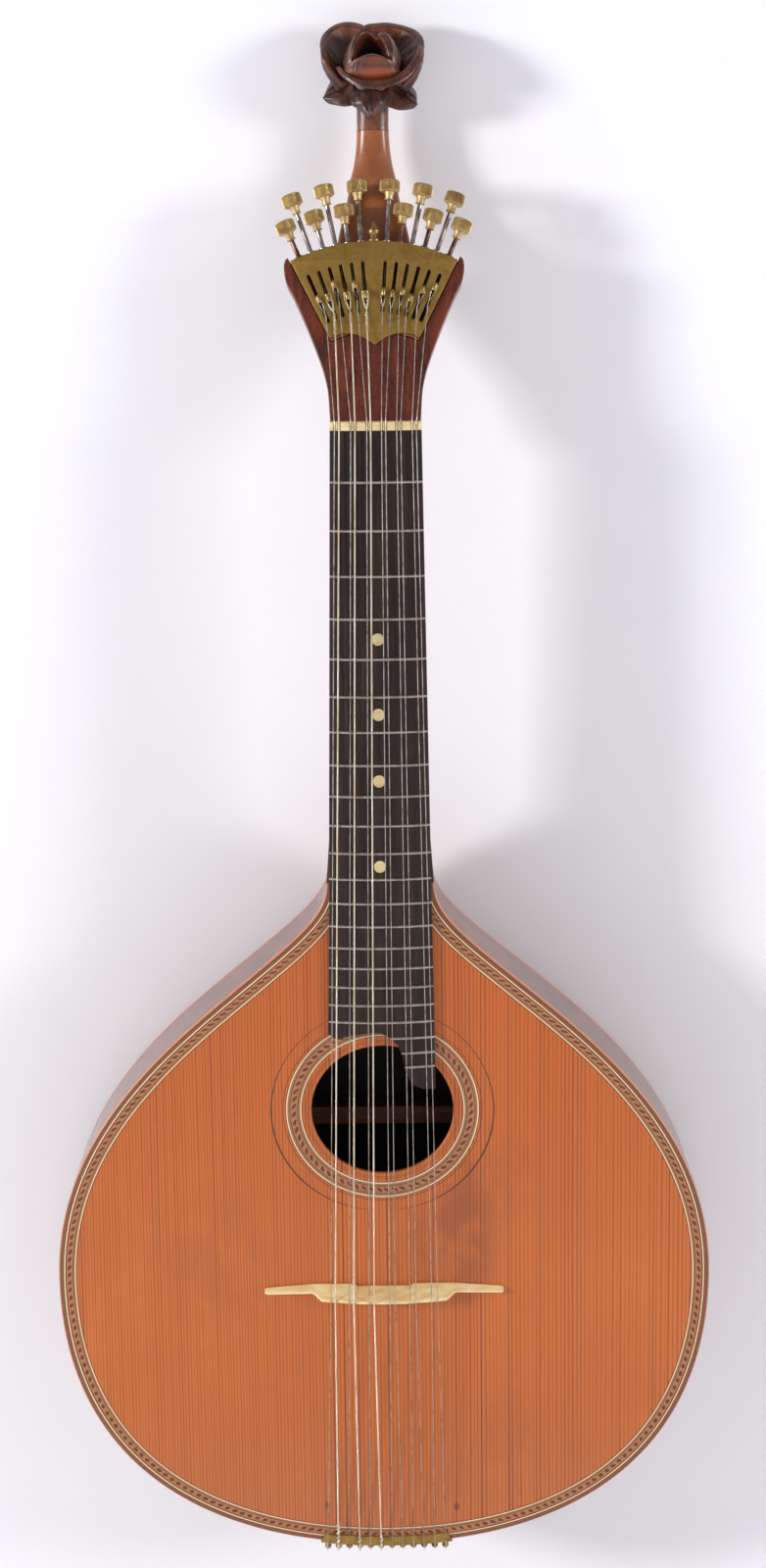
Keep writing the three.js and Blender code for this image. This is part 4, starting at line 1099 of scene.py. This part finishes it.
def rose():
    b = Build()
    stations = stem_stations(ROSE_JOINT + SEAT, STEM_TOP)
    pale = [[0.75 * (1 - smooth((s[0] * STEM_TOP - 150) / 16))] * 28 for s in stations]
    b.loft([[head(p) for p in stem_ring(s)] for s in stations], stem=pale)
    # the solid wood under the petals and inside the bud
    b.turned([(0, -1.6), (6.0, -1.4), (10.0, 0.4), (12.4, 2.6), (13.2, 5.0), (12.5, 8.0), (10.5, 11.0),
              (0, 12.0)], 40,
             place=rose_place)
    b.turned([(0, 7.0), (8.0, 7.2), (10.0, 11.0), (9.6, 16.0), (7.0, 17.6), (4.0, 17.2), (0, 16.8)], 32,
             place=rose_place)
    petal(b, RIGHT_RIM, RIGHT_LIP, (12.5, 3.2), (9.5, 9.5), 4.6, 1.6, (0.22, 0.5), 2.0)
    petal(b, LEFT_RIM, LEFT_LIP, (12.5, 3.2), (9.5, 9.5), 4.6, 1.6, (0.22, 0.5), 1.0)
    petal(b, FRONT_RIM, FRONT_LIP, (10.0, 9.2), (9.5, 12.5), 0.0, 0.5, (0.25, 0.35), 3.0)
    petal(b, BUD_RIGHT_RIM, BUD_RIGHT_LIP, (9.0, 9.0), (5.0, 20.0), 4.8, 0.2, (0.5, 0.5), 6.0, 0.0)
    petal(b, BUD_LEFT_RIM, BUD_LEFT_LIP, (9.0, 9.0), (6.0, 20.0), 4.8, 0.4, (0.5, 0.6), 5.0, 0.0)
    # the bud's front face is worn bright orange, partly a painted highlight
    petal(b, BUD_FRONT_RIM, BUD_FRONT_LIP, (9.0, 9.0), (6.0, 20.0), 5.0, 0.2, (1.1, 0.15), 7.0, 0.55)
    for centre, tip, half in ((-68, 27.6, 11.4), (56, 28.0, 11.2), (-4, 23.2, 10.6), (115, 25.5, 10),
                              (-118, 25.5, 10), (180, 24.5, 10)):
        sepal(b, centre, tip, half)
    b.make("rose_carving", ROSE, nodes=["carved_rose"], slot="carved_rose", sharp=50)


neck()
rose()


# fretboard, nut and bridge

CROWN = 120.0
END = (
    (-1, 0), (-0.865, 0.092), (-0.582, 0.025), (-0.277, -0.029), (-0.043, -0.029), (0.103, 0.025),
    (0.27, 0.15), (0.362, 0.325), (0.422, 0.481), (0.433, 0.637), (0.482, 0.745), (0.578, 0.9),
    (0.766, 0.978), (1, 1),
)


def end_at(share):
    """How far down the fretboard ends at a share of its half width."""
    for (a, za), (c, zc) in zip(END, END[1:]):
        if a <= share <= c:
            return -FRETBOARD_LENGTH - 31.4 * lerp(za, zc, smooth((share - a) / (c - a)) * 0.5
                                                   + (share - a) / (c - a) * 0.5)
    return -FRETBOARD_LENGTH


def board_top(x, height=6.0):
    return drop(x, CROWN) - height


def fretboard():
    b = Build()
    even = {round(k / 20 * 0.96, 3) for k in range(-20, 21)}
    shares = sorted(even | {-1.0, -0.985, 0.985, 1.0, 0.4275, 0.436, 0.45})
    stations = [-0.3, -0.7, -80.0, -160.0, -240.0, -300.0]
    rows = []
    for z in stations:
        half = board_half(z)
        edge = 0.4 if z == -0.3 else 0.0
        rows.append([(s * half, board_top(s * half) + (0.4 if abs(s) == 1 else 0) + edge, z) for s in shares])
    for t in (0.5, 0.9, 0.985, 1.0):
        row = []
        for s in shares:
            z = lerp(-300.0, end_at(s), t)
            x = s * lerp(board_half(-300.0), 28.6, t)
            row.append((x, board_top(x) + (0.4 if abs(s) == 1 or t == 1 else 0), z))
        rows.append(row)
    ids = [b.add(row) for row in rows]
    b.strips(ids, closed=False)
    rim = ids[0] + [r[-1] for r in ids[1:-1]] + ids[-1][::-1] + [r[0] for r in ids[-2:0:-1]]
    foot = b.add([(b.verts[i][0], -0.3, b.verts[i][2]) for i in rim])
    b.strip(rim, foot)
    b.fill([foot])
    b.make("fretboard_top", FRETBOARD, nodes=["fretboard"], slot="fretboard", sharp=30)
    wires = Build()
    for n in range(1, FRETS + 1):
        z = -SCALE * (1 - 2 ** (-n / 12))
        start = -1.0 if n < 20 else (0.16, 0.37, 0.432)[n - 20]
        half = board_half(z) if n < 20 else 28.2
        rings = []
        for k in range(15):
            x = half * lerp(start, 1.0, k / 14)
            end = 0.25 if k in (0, 14) else 0.0
            rings.append([
                (x, board_top(x) + 0.15 - (1.13 - end) * math.sin(a), z + (0.8 - end) * math.cos(a))
                for a in (math.pi * j / 8 for j in range(9))
            ])
        wires.loft(rings)
    wires.make("fret_wires", FRET_METAL, sharp=50)
    dots = Build()
    for n in (5, 7, 9, 12):
        z = -SCALE / 2 * (2 - 2 ** (-n / 12) - 2 ** (-(n - 1) / 12))
        ring = [(3.2 * math.cos(TAU * k / 36), z + 3.2 * math.sin(TAU * k / 36)) for k in range(36)]
        top = dots.add([(x, board_top(x, 6.05), zz) for x, zz in ring])
        low = dots.add([(x, board_top(x, 5.5), zz) for x, zz in ring])
        dots.strip(top, low)
        dots.face(top)
        dots.face(low)
    dots.make("position_dots", DOT, sharp=50)


NUT_X = [21 * s for s in (-1, -.886, -.605, -.5, -.214, -.119, .143, .243, .51, .61, .886, .99)]
BRIDGE_X = [28.9 * s for s in (-1, -.917, -.657, -.571, -.284, -.19, .1, .204, .481, .592, .886, 1)]


def nut():
    points = [(-23.5, -0.3)]
    x = -23.5
    for centre in NUT_X + [None]:
        stop = 23.5 if centre is None else centre - 0.8
        steps = max(2, int((stop - x) / 1.5))
        places = [lerp(x, stop, k / steps) for k in range(steps + 1)]
        points += [(across, board_top(across, 8.0)) for across in places]
        if centre is not None:
            floor = board_top(centre, 7.25)
            points += [(centre - 0.78, floor - 0.12), (centre - 0.45, floor), (centre + 0.45, floor),
                       (centre + 0.78, floor - 0.12)]
            x = centre + 0.8
    points.append((23.5, -0.3))
    b = Build()

    def at(z, by):
        return b.add([(px * (1 - by / 23.5), min(py + by, -0.3), z) for px, py in points])

    ids = [at(0.0, 0.35), at(0.35, 0.0), at(4.1, 0.0), at(4.5, 0.4)]
    b.strips(ids)
    b.fill([ids[0]])
    b.fill([ids[-1]], flip=True)
    b.make("string_nut", BONE, nodes=["nut"], slot="nut", sharp=40)


def bridge():
    head_z, tail_z = -461.8, -470.0
    section = ((0.02, 0.0), (0.98, 0.0), (1.0, 0.03), (1.0, 0.15), (0.98, 0.19), (0.3, 0.985), (0.24, 1.0),
               (0.14, 1.0), (0.08, 0.96), (0.0, 0.76), (0.0, 0.03))
    b = Build()
    rings = []
    xs = [-65, -64.6, -63.8, -60, -55, -50, -45, -42, -40, -39, -38, -37, -36, -34, -31, -27, -23, -19, -16.2,
          -15.6, -14.8, -14.2, -10, -5]
    for x in xs + [0] + [-v for v in xs[::-1]]:
        reach = abs(x)
        out = smooth((reach - 33.5) / 6.0)
        wing = lerp(5.6, 4.0, min(1, max(0, (reach - 37.2) / 27.8)))
        block = 13.0 - drop(min(reach, 60.0), 125.0)
        height = lerp(block, wing, out)
        tip = smooth((reach - 63.6) / 1.4)
        height -= 0.7 * tip
        along = min(1, max(0, (reach - 37.2) / 27.8))
        head_in = 2.2 * along + 1.3 * (1 - smooth((reach - 14.5) / 1.4)) + 0.5 * tip
        tail_in = 4.0 * out - 0.9 * out * along + 0.5 * tip
        tail = tail_z + tail_in
        front = head_z - head_in
        rings.append([(x, -0.3 - up * (height - 0.3), tail + share * (front - tail))
                      for share, up in section])
    b.loft(rings)
    b.make("string_bridge", BRIDGE_BONE, nodes=["bridge"], slot="bridge", sharp=32)


# fan, tuners and hooks

FAN_HALF, FAN_RADIUS = math.radians(26.6), 95.8
SCREW_DEPTH = 5.0
SPACING = math.radians(3.9)
RESTS = [59 + 26.5 * s for s in (.468, .426, .638, .366, .551, .336, .385, .366, .434, .351, .57, .709)]


def tuner_angle(i):
    return SPACING * (i - 6 if i < 6 else i - 5)


def tuner_place(i):
    """From a screw's own frame, along whose z it lies, to the scene's frame."""
    c, s = math.cos(tuner_angle(i)), math.sin(tuner_angle(i))
    return lambda p: fan((p[0] * c + p[2] * s, p[1] + SCREW_DEPTH, -p[0] * s + p[2] * c))


def inward(points, by):
    """An outline that runs clockwise seen from the front, moved inward."""
    n = len(points)
    out = []
    for i in range(n):
        a, p, c = (Vector(points[(i + k) % n]) for k in (-1, 0, 1))
        u, v = (p - a).normalized(), (c - p).normalized()
        side = (Vector((u.y, -u.x)) + Vector((v.y, -v.x))).normalized()
        scale = min(2.0, 1 / max(0.5, side.dot(Vector((u.y, -u.x)))))
        out.append(tuple(p + side * by * scale))
    return out


def fan_plate():
    angles = [lerp(-FAN_HALF, FAN_HALF, k / 48) for k in range(49)]
    edge = [(FAN_RADIUS * math.sin(a), FAN_RADIUS * math.cos(a)) for a in angles]
    cx, cz = 51.3 * math.sin(FAN_HALF), 51.3 * math.cos(FAN_HALF)
    for side in (1, -1):
        for k in range(15):
            t = k / 14 if side > 0 else 1 - k / 14
            u = 1 - t
            x = cx * u * u + 2 * 12.3 * u * t
            z = cz * u * u + 2 * 52.4 * u * t + 42.4 * t * t
            if side > 0 or k:
                edge.append((side * x, z))
    b = Build()
    loops = []

    def ring(points, deep):
        return b.add([fan((x, deep, z)) for x, z in points])

    loops.append([
        ring(inward(edge, 0.4), -1.8), ring(inward(edge, 0.12), -1.68), ring(edge, -1.4), ring(edge, -0.3),
    ])
    for i in range(STRINGS):
        angle = tuner_angle(i)

        def slot(grow):
            half = 0.95 + grow
            points = []
            for radius, start in ((85.5 - 0.85, 0), (59 + 0.85, math.pi)):
                for k in range(9):
                    a = start + math.pi * k / 8
                    px, pz = half * math.cos(a), radius + half * math.sin(a)
                    points.append((px * math.cos(angle) + pz * math.sin(angle),
                                   -px * math.sin(angle) + pz * math.cos(angle)))
            return points

        loops.append([ring(slot(0.18), -1.8), ring(slot(0.0), -1.6), ring(slot(0.0), -0.3)])
    for rings in loops:
        b.strips(rings)
    b.fill([g[0] for g in loops])
    b.fill([g[-1] for g in loops], flip=True)
    b.make("tuning_plate", PLATE, nodes=["fan_plate"], slot="fan_plate", sharp=30)


def finial():
    shares = ((0, 0), (0.9, 0), (0.95, 0.02), (0.95, 0.15), (0.9, 0.17), (0.6, 0.2), (0.55, 0.25),
              (0.62, 0.31), (0.82, 0.4), (0.97, 0.5), (1, 0.56), (0.96, 0.6), (0.72, 0.62), (0.62, 0.66),
              (0.42, 0.76),
              (0.27, 0.88), (0.16, 0.97), (0.08, 0.995), (0, 1))
    b = Build()
    b.turned([(3.2 * r, FAN_RADIUS + 11 * h) for r, h in shares], 32,
             place=lambda p: fan((p[0], p[1] + 4.75, p[2])))
    b.make("plate_finial", SHINY, nodes=["fan_finial"], slot="fan_finial", sharp=28)


SCREW_FOOT, THREAD_END, PITCH = 53.3, 95.2, 0.8


def tuners():
    for i in range(STRINGS):
        number = f"{i + 1:02d}"
        is_long = i % 2 == 1 if i < 6 else i % 2 == 0
        middle = 125.3 if is_long else 113.7
        foot, top = middle - 3.2, middle + 3.2
        place = tuner_place(i)
        b = Build()
        thread = []
        z = SCREW_FOOT
        while z < THREAD_END:
            thread += [(0.82, z), (1.0, z + 0.3)]
            z += PITCH
        shaft = [(0, SCREW_FOOT)] + thread + [
            (1.0, FAN_RADIUS), (2.05, FAN_RADIUS), (2.3, 96.05), (2.3, 97.05), (2.05, 97.3), (1.35, 97.3),
            (1.2, 97.6),
            (1.2, foot - 4.2), (0, foot - 4.2),
        ]
        b.turned(shaft, 16, place=place)
        b.current = 1
        collar = [
            (0, foot - 4), (2.2, foot - 4), (2.4, foot - 3.8), (2.4, foot - 3.45), (2.2, foot - 3.25),
            (1.95, foot - 3.15), (2.0, foot - 2.6), (2.2, foot - 1.7), (2.5, foot - 0.8), (2.75, foot - 0.15),
            (2.75, foot + 0.3), (0, foot + 0.3),
        ]
        b.turned(collar, 32, place=place)
        knob = [(0, foot), (3.6, foot), (4.1, foot + 0.1), (4.35, foot + 0.35), (4.75, foot + 0.55)]
        knob += [(5.15, foot + 0.8 + k * 0.8) for k in range(7)]
        knob += [(4.75, top - 0.5), (4.35, top - 0.15), (3.7, top), (0, top - 0.02)]
        ridge = 2 * math.pi / 44
        b.turned(knob, 176, place=place,
                 bulge=lambda a, r: 1 - (0.1 * (1 - abs((a / ridge) % 1 - 0.5) * 2) if r > 4.6 else 0))
        rusty = i in (0, 7, 9, 11)
        b.make(f"tuner_screw_{number}", [RUSTY_METAL if rusty else SCREW_METAL, KNOB], body=f"tuner_{number}",
               nodes=[f"tuner_{number}"], slot="tuner_steel", sharp=35)


def hooks():
    for i in range(STRINGS):
        number = f"{i + 1:02d}"
        rest = RESTS[i]
        b = Build()
        count = 24
        angles = [TAU * (k + 0.5) / count for k in range(count)]
        rings = []
        for deep, grow in ((-3.0, -0.2), (-2.8, 0.0), (2.8, 0.0), (3.0, -0.2)):
            ring = []
            for a in angles:
                c, s = math.cos(a), math.sin(a)
                reach = min(1.65 / max(abs(c), 1e-6), 2.4 / max(abs(s), 1e-6)) + grow
                ring.append((reach * c, reach * s, rest + deep))
            rings.append(ring)
        outer = [b.add(r) for r in rings]
        inner = [b.add([(1.3 * math.cos(a), 1.3 * math.sin(a), rest + deep) for a in angles])
                 for deep in (3.0, -3.0)]
        b.strips(outer + inner + outer[:1])
        # the fin that passes through the slot
        fin = [
            [(x * (1 - t), y, rest + z * (1 - t)) for x, z in
             ((-0.6, -1.0), (-0.45, -1.2), (0.45, -1.2), (0.6, -1.0), (0.6, 1.0), (0.45, 1.2), (-0.45, 1.2),
              (-0.6, 1.0))]
            for y, t in ((-1.7, 0), (-8.9, 0), (-9.6, 0.1))
        ]
        b.loft(fin)
        profile = catmull([(0.0, -1), (0.55, -0.98), (0.85, -0.86), (1.0, -0.45), (1.0, 0.1), (0.86, 0.5),
                           (0.55, 0.85), (0.2, 0.99), (0.0, 1.0)], 3)
        profile = [(0, -1)] + [(max(0.02, r), h) for r, h in profile[1:-1]] + [(0, 1)]
        b.turned([(HOOK_R * r, rest + h * (HOOK_TAIL if h < 0 else HOOK_TIP)) for r, h in profile], 24,
                 place=lambda p: (p[0], p[1] - 9.6, p[2]))
        b.make(f"string_hook_{number}", SHINY, body=f"hook_{number}", nodes=[f"hook_{number}"],
               slot="hook_brass", sharp=40, place=tuner_place(i))


HOOK_R, HOOK_TAIL, HOOK_TIP = 1.2, 2.2, 2.3


# tail plate and strings

PIN_END = -621.6


def pin_x(i):
    return 5.95 * (i - 5.5)


def tail_plate():
    b = Build()
    last = [side_vector(share) for share in (SIDE[1][2], *SIDE[2])]
    low, high = 0.5, 1.0
    for _ in range(40):
        half = (low + high) / 2
        low, high = (half, high) if edge_point(last, half, 0).x > 36.3 else (low, half)
    section = ((4.5, -0.3), (4.5, -0.9), (4.3, -1.1), (-0.5, -1.1), (-0.95, -0.95), (-1.1, -0.5),
               (-1.1, 15.8), (-0.9, 16.0), (-0.3, 16.0), (-0.3, -0.3))
    rings = []
    for k in range(-16, 17):
        t = lerp(low, 1.0, 1 - abs(k) / 16)
        side = 1 if k >= 0 else -1
        round_off = 1.2 if abs(k) == 16 else 0.0
        ring = []
        for inset, y in section:
            x, z = edge_point(last, t, inset)
            if round_off and inset > 4:
                x, z = edge_point(last, t + 0.006, inset - round_off * 0.5)
            ring.append((side * x, y, z))
        rings.append(ring)
    b.loft(rings)
    b.current = 1
    for i in range(STRINGS):
        b.turned([(0, PIN_END), (0.7, PIN_END + 0.03), (1.3, PIN_END + 0.25), (1.7, PIN_END + 0.75),
                  (1.9, PIN_END + 1.3), (1.85, PIN_END + 1.75), (1.6, PIN_END + 2.1), (1.2, PIN_END + 2.4),
                  (1.1, PIN_END + 2.7), (1.1, -612.5), (0, -612.5)], 24,
                 place=lambda p, i=i: (p[0] + pin_x(i), p[1] + 8, p[2]))
    b.make("tail_strip", [PLATE, SHINY], nodes=["tail_plate"], slot="tail_plate", sharp=35)


def between(start, end, shares):
    """Points at shares of the way from one point to another."""
    return [tuple(Vector(start).lerp(Vector(end), t)) for t in shares]


def spiral(path, start, stop, pitch, radius):
    """Points of a wire wrapped round a path between two distances along it."""
    run, at = [0.0], [Vector(p) for p in path]
    for a, c in zip(at, at[1:]):
        run.append(run[-1] + (c - a).length)
    out = []
    steps = int(abs(stop - start) / pitch * 14)
    side = None
    for k in range(steps + 1):
        d = lerp(start, stop, k / steps)
        j = max(0, min(len(run) - 2, next((n for n in range(len(run)) if run[n] > d), len(run)) - 1))
        t = (d - run[j]) / (run[j + 1] - run[j])
        way = (at[j + 1] - at[j]).normalized()
        side = way.orthogonal().normalized() if side is None else (side - way * side.dot(way)).normalized()
        a = TAU * (d - start) / pitch
        fade = smooth(k / 6) * (0.55 + 0.45 * smooth((steps - k) / 10))
        off = (side * math.cos(a) + way.cross(side) * math.sin(a)) * radius * fade
        out.append(at[j].lerp(at[j + 1], t) + off)
    return out


def strings():
    for i in range(STRINGS):
        number = f"{i + 1:02d}"
        wrapped = i in (1, 3, 5)
        r = 0.45 if wrapped else 0.22
        nx, bx, tx = NUT_X[i], BRIDGE_X[i], pin_x(i)
        eye = 1.1 + SEAT + r
        loop_z = -618.2
        crest_y = -(13 - drop(bx, 125.0)) - SEAT - r
        nut_y = drop(nx, CROWN) - 7.25 - SEAT - r
        edge = -1.1 - SEAT - r
        tail = [(tx + eye * 0.35, 8 - 4.4, loop_z)]
        tail += [(tx + eye * math.cos(a), 8 + eye * math.sin(a), loop_z)
                 for a in (lerp(-0.6, math.pi + 0.6, k / 12) for k in range(13))]
        tail += [(tx, 3.4, loop_z), (tx, 1.0, loop_z)]
        tail = catmull(tail, 4)
        bend = [(tx, edge + 1.3, loop_z), (tx, edge + 0.45, loop_z + 0.15), (tx, edge, loop_z + 0.9)]
        slope = Vector((bx - tx, crest_y - edge, -469.1 - loop_z - 0.9))
        front = [tuple(Vector(bend[-1]) + slope * t) for t in (0.05, 0.15, 0.4, 0.7, 0.97)]
        over = [(bx, crest_y, -468.9), (bx, crest_y, -467.9)]
        at_nut = [(nx, nut_y, -0.3), (nx, nut_y, 4.8)]
        far = between(over[-1], at_nut[0], (0.02, 0.25, 0.5, 0.75, 0.98))
        place = tuner_place(i)
        rest = RESTS[i]
        half = 0.6 + SEAT + r
        level = -7.6
        start = place((0, level, rest - 9.0))
        rise = between(at_nut[-1], start, (0.05, 0.35, 0.65, 0.9))
        eye_line = [(0, rest - 9.0), (-0.1, rest - 7.2), (-half * 0.55, rest - 4.8),
                    (-half * 0.95, rest - 2.0)]
        eye_line += [(half * -math.cos(a), rest + 1.0 + (half - 0.2) * math.sin(a))
                     for a in (math.pi * k / 8 for k in range(9))]
        eye_line += [(half * 0.95, rest - 2.0), (half * 0.55, rest - 4.8), (0.35, rest - 7.0)]
        eye_line = catmull(eye_line, 3)
        path = tail + bend + front + over + far + at_nut + rise + [place((x, level, z)) for x, z in eye_line]
        b = Build()
        b.tube(path, r, 10)
        # the free ends, wound back round the string
        wire = r * 0.7
        up = [place((0, level, rest - 7.6)), start] + rise[::-1] + [at_nut[-1]]
        reach, pitch = (11.5, 1.5) if wrapped else (9.5, 1.15)
        b.tube(spiral(up, 0.0, reach, pitch, r + wire * 0.8), wire, 6)
        down = [bend[-1]] + front
        reach = {1: 17.0, 3: 7.0, 5: 8.0}.get(i, 6.0)
        wire = 0.5 if wrapped else 0.2
        b.tube(spiral(down, 0.6, reach, 2.6 if wrapped else 1.3, r + wire * 0.35), wire, 6)
        metal, slot = (WOUND_WIRE, "string_wound") if wrapped else (PLAIN_WIRE, "string_plain")
        obj = b.make(f"wire_{number}", metal, body=None, nodes=[f"string_{number}"], slot=slot, sharp=60)
        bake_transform(obj)


fretboard()
nut()
bridge()
fan_plate()
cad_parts["fan_frame"].data.materials[0] = FRAME_BRASS
finial()
tuners()
hooks()
tail_plate()
strings()


# stage

def backdrop_material():
    g = Graph("backdrop_paper", rough=0.95)
    speck = g.noise((0.02, 0.02, 0.02), 3)
    g.color(g.mix(speck, srgb(247, 246, 249), srgb(244, 243, 247)))
    # clear from behind and to shadow rays, so that the guitar's back gets light too
    facing = g.node("NewGeometry").outputs["Backfacing"]
    passing = g.math("MAXIMUM", facing, g.node("LightPath").outputs["Is Shadow Ray"])
    clear = g.node("BsdfTransparent").outputs[0]
    mixed = g.node("MixShader", {0: passing, 1: g.shader.outputs[0], 2: clear}).outputs[0]
    g.put(g.output.inputs[0], mixed)
    return g.material


def plane(name, half, near, far, material):
    """A rectangle between two level edges, each a y and a z."""
    mesh = bpy.data.meshes.new(name)
    corners = ((-half, *near), (half, *near), (half, *far), (-half, *far))
    mesh.from_pydata([mm(*c) for c in corners], [], [(0, 1, 2, 3)])
    mesh.materials.append(material)
    placed(name, mesh)


def floor_material():
    g = Graph("floor_paint", rough=0.9)
    g.color(g.mix(g.noise((0.004, 0.004, 0.004), 3), srgb(240, 239, 242), srgb(235, 234, 238)))
    return g.material


def wall_y(z):
    return 89.6 + (z + 620) * (70.5 - 89.6) / 820


FLOOR_Z, WALL_TOP = -700, 2200
plane("wall", 2600, (wall_y(FLOOR_Z), FLOOR_Z), (wall_y(WALL_TOP), WALL_TOP), backdrop_material())
plane("floor", 4000, (-4000, FLOOR_Z), (4000, FLOOR_Z), floor_material())


def lamp(name, place, size, power):
    """A square lamp aimed at the guitar, at a place in metres."""
    data = bpy.data.lights.new(name, "AREA")
    data.shape = "RECTANGLE"
    data.size = size
    data.size_y = size
    data.energy = power
    obj = placed(name, data)
    obj.location = place
    obj.rotation_euler = (Vector((0, 0, -0.1)) - Vector(place)).to_track_quat("-Z", "Y").to_euler()


lamp("left", (-2.75, -1.45, 0.35), 0.45, 70)
lamp("right", (2.7, -1.45, 0.35), 0.7, 41)
lamp("behind", (0.6, 2.6, 0.6), 1.0, 22)
world = bpy.data.worlds.new("pale_room")
bpy.context.scene.world = world
world.use_nodes = True
background = world.node_tree.nodes["Background"]
background.inputs["Color"].default_value = (*srgb(246, 246, 250), 1)
background.inputs["Strength"].default_value = 0.38

CAMERA_PLACE, CAMERA_LENS = (2.0, -1414.3, 101.9), 63.17
CAMERA_DOWN, CAMERA_ROLL = math.radians(11.46), math.radians(-0.56)
camera_data = bpy.data.cameras.new("camera")
camera_data.sensor_fit = "AUTO"
camera_data.sensor_width = 36
camera_data.lens = CAMERA_LENS
camera = placed("camera", camera_data)
camera.location = mm(*CAMERA_PLACE)
look = Matrix.Rotation(math.pi / 2 - CAMERA_DOWN, 4, "X") @ Matrix.Rotation(CAMERA_ROLL, 4, "Z")
camera.rotation_mode = "QUATERNION"
camera.rotation_quaternion = look.to_quaternion()
camera_data.clip_start = 0.05
camera_data.clip_end = 30
bpy.context.scene.camera = camera
bpy.context.scene.view_settings.view_transform = "Standard"
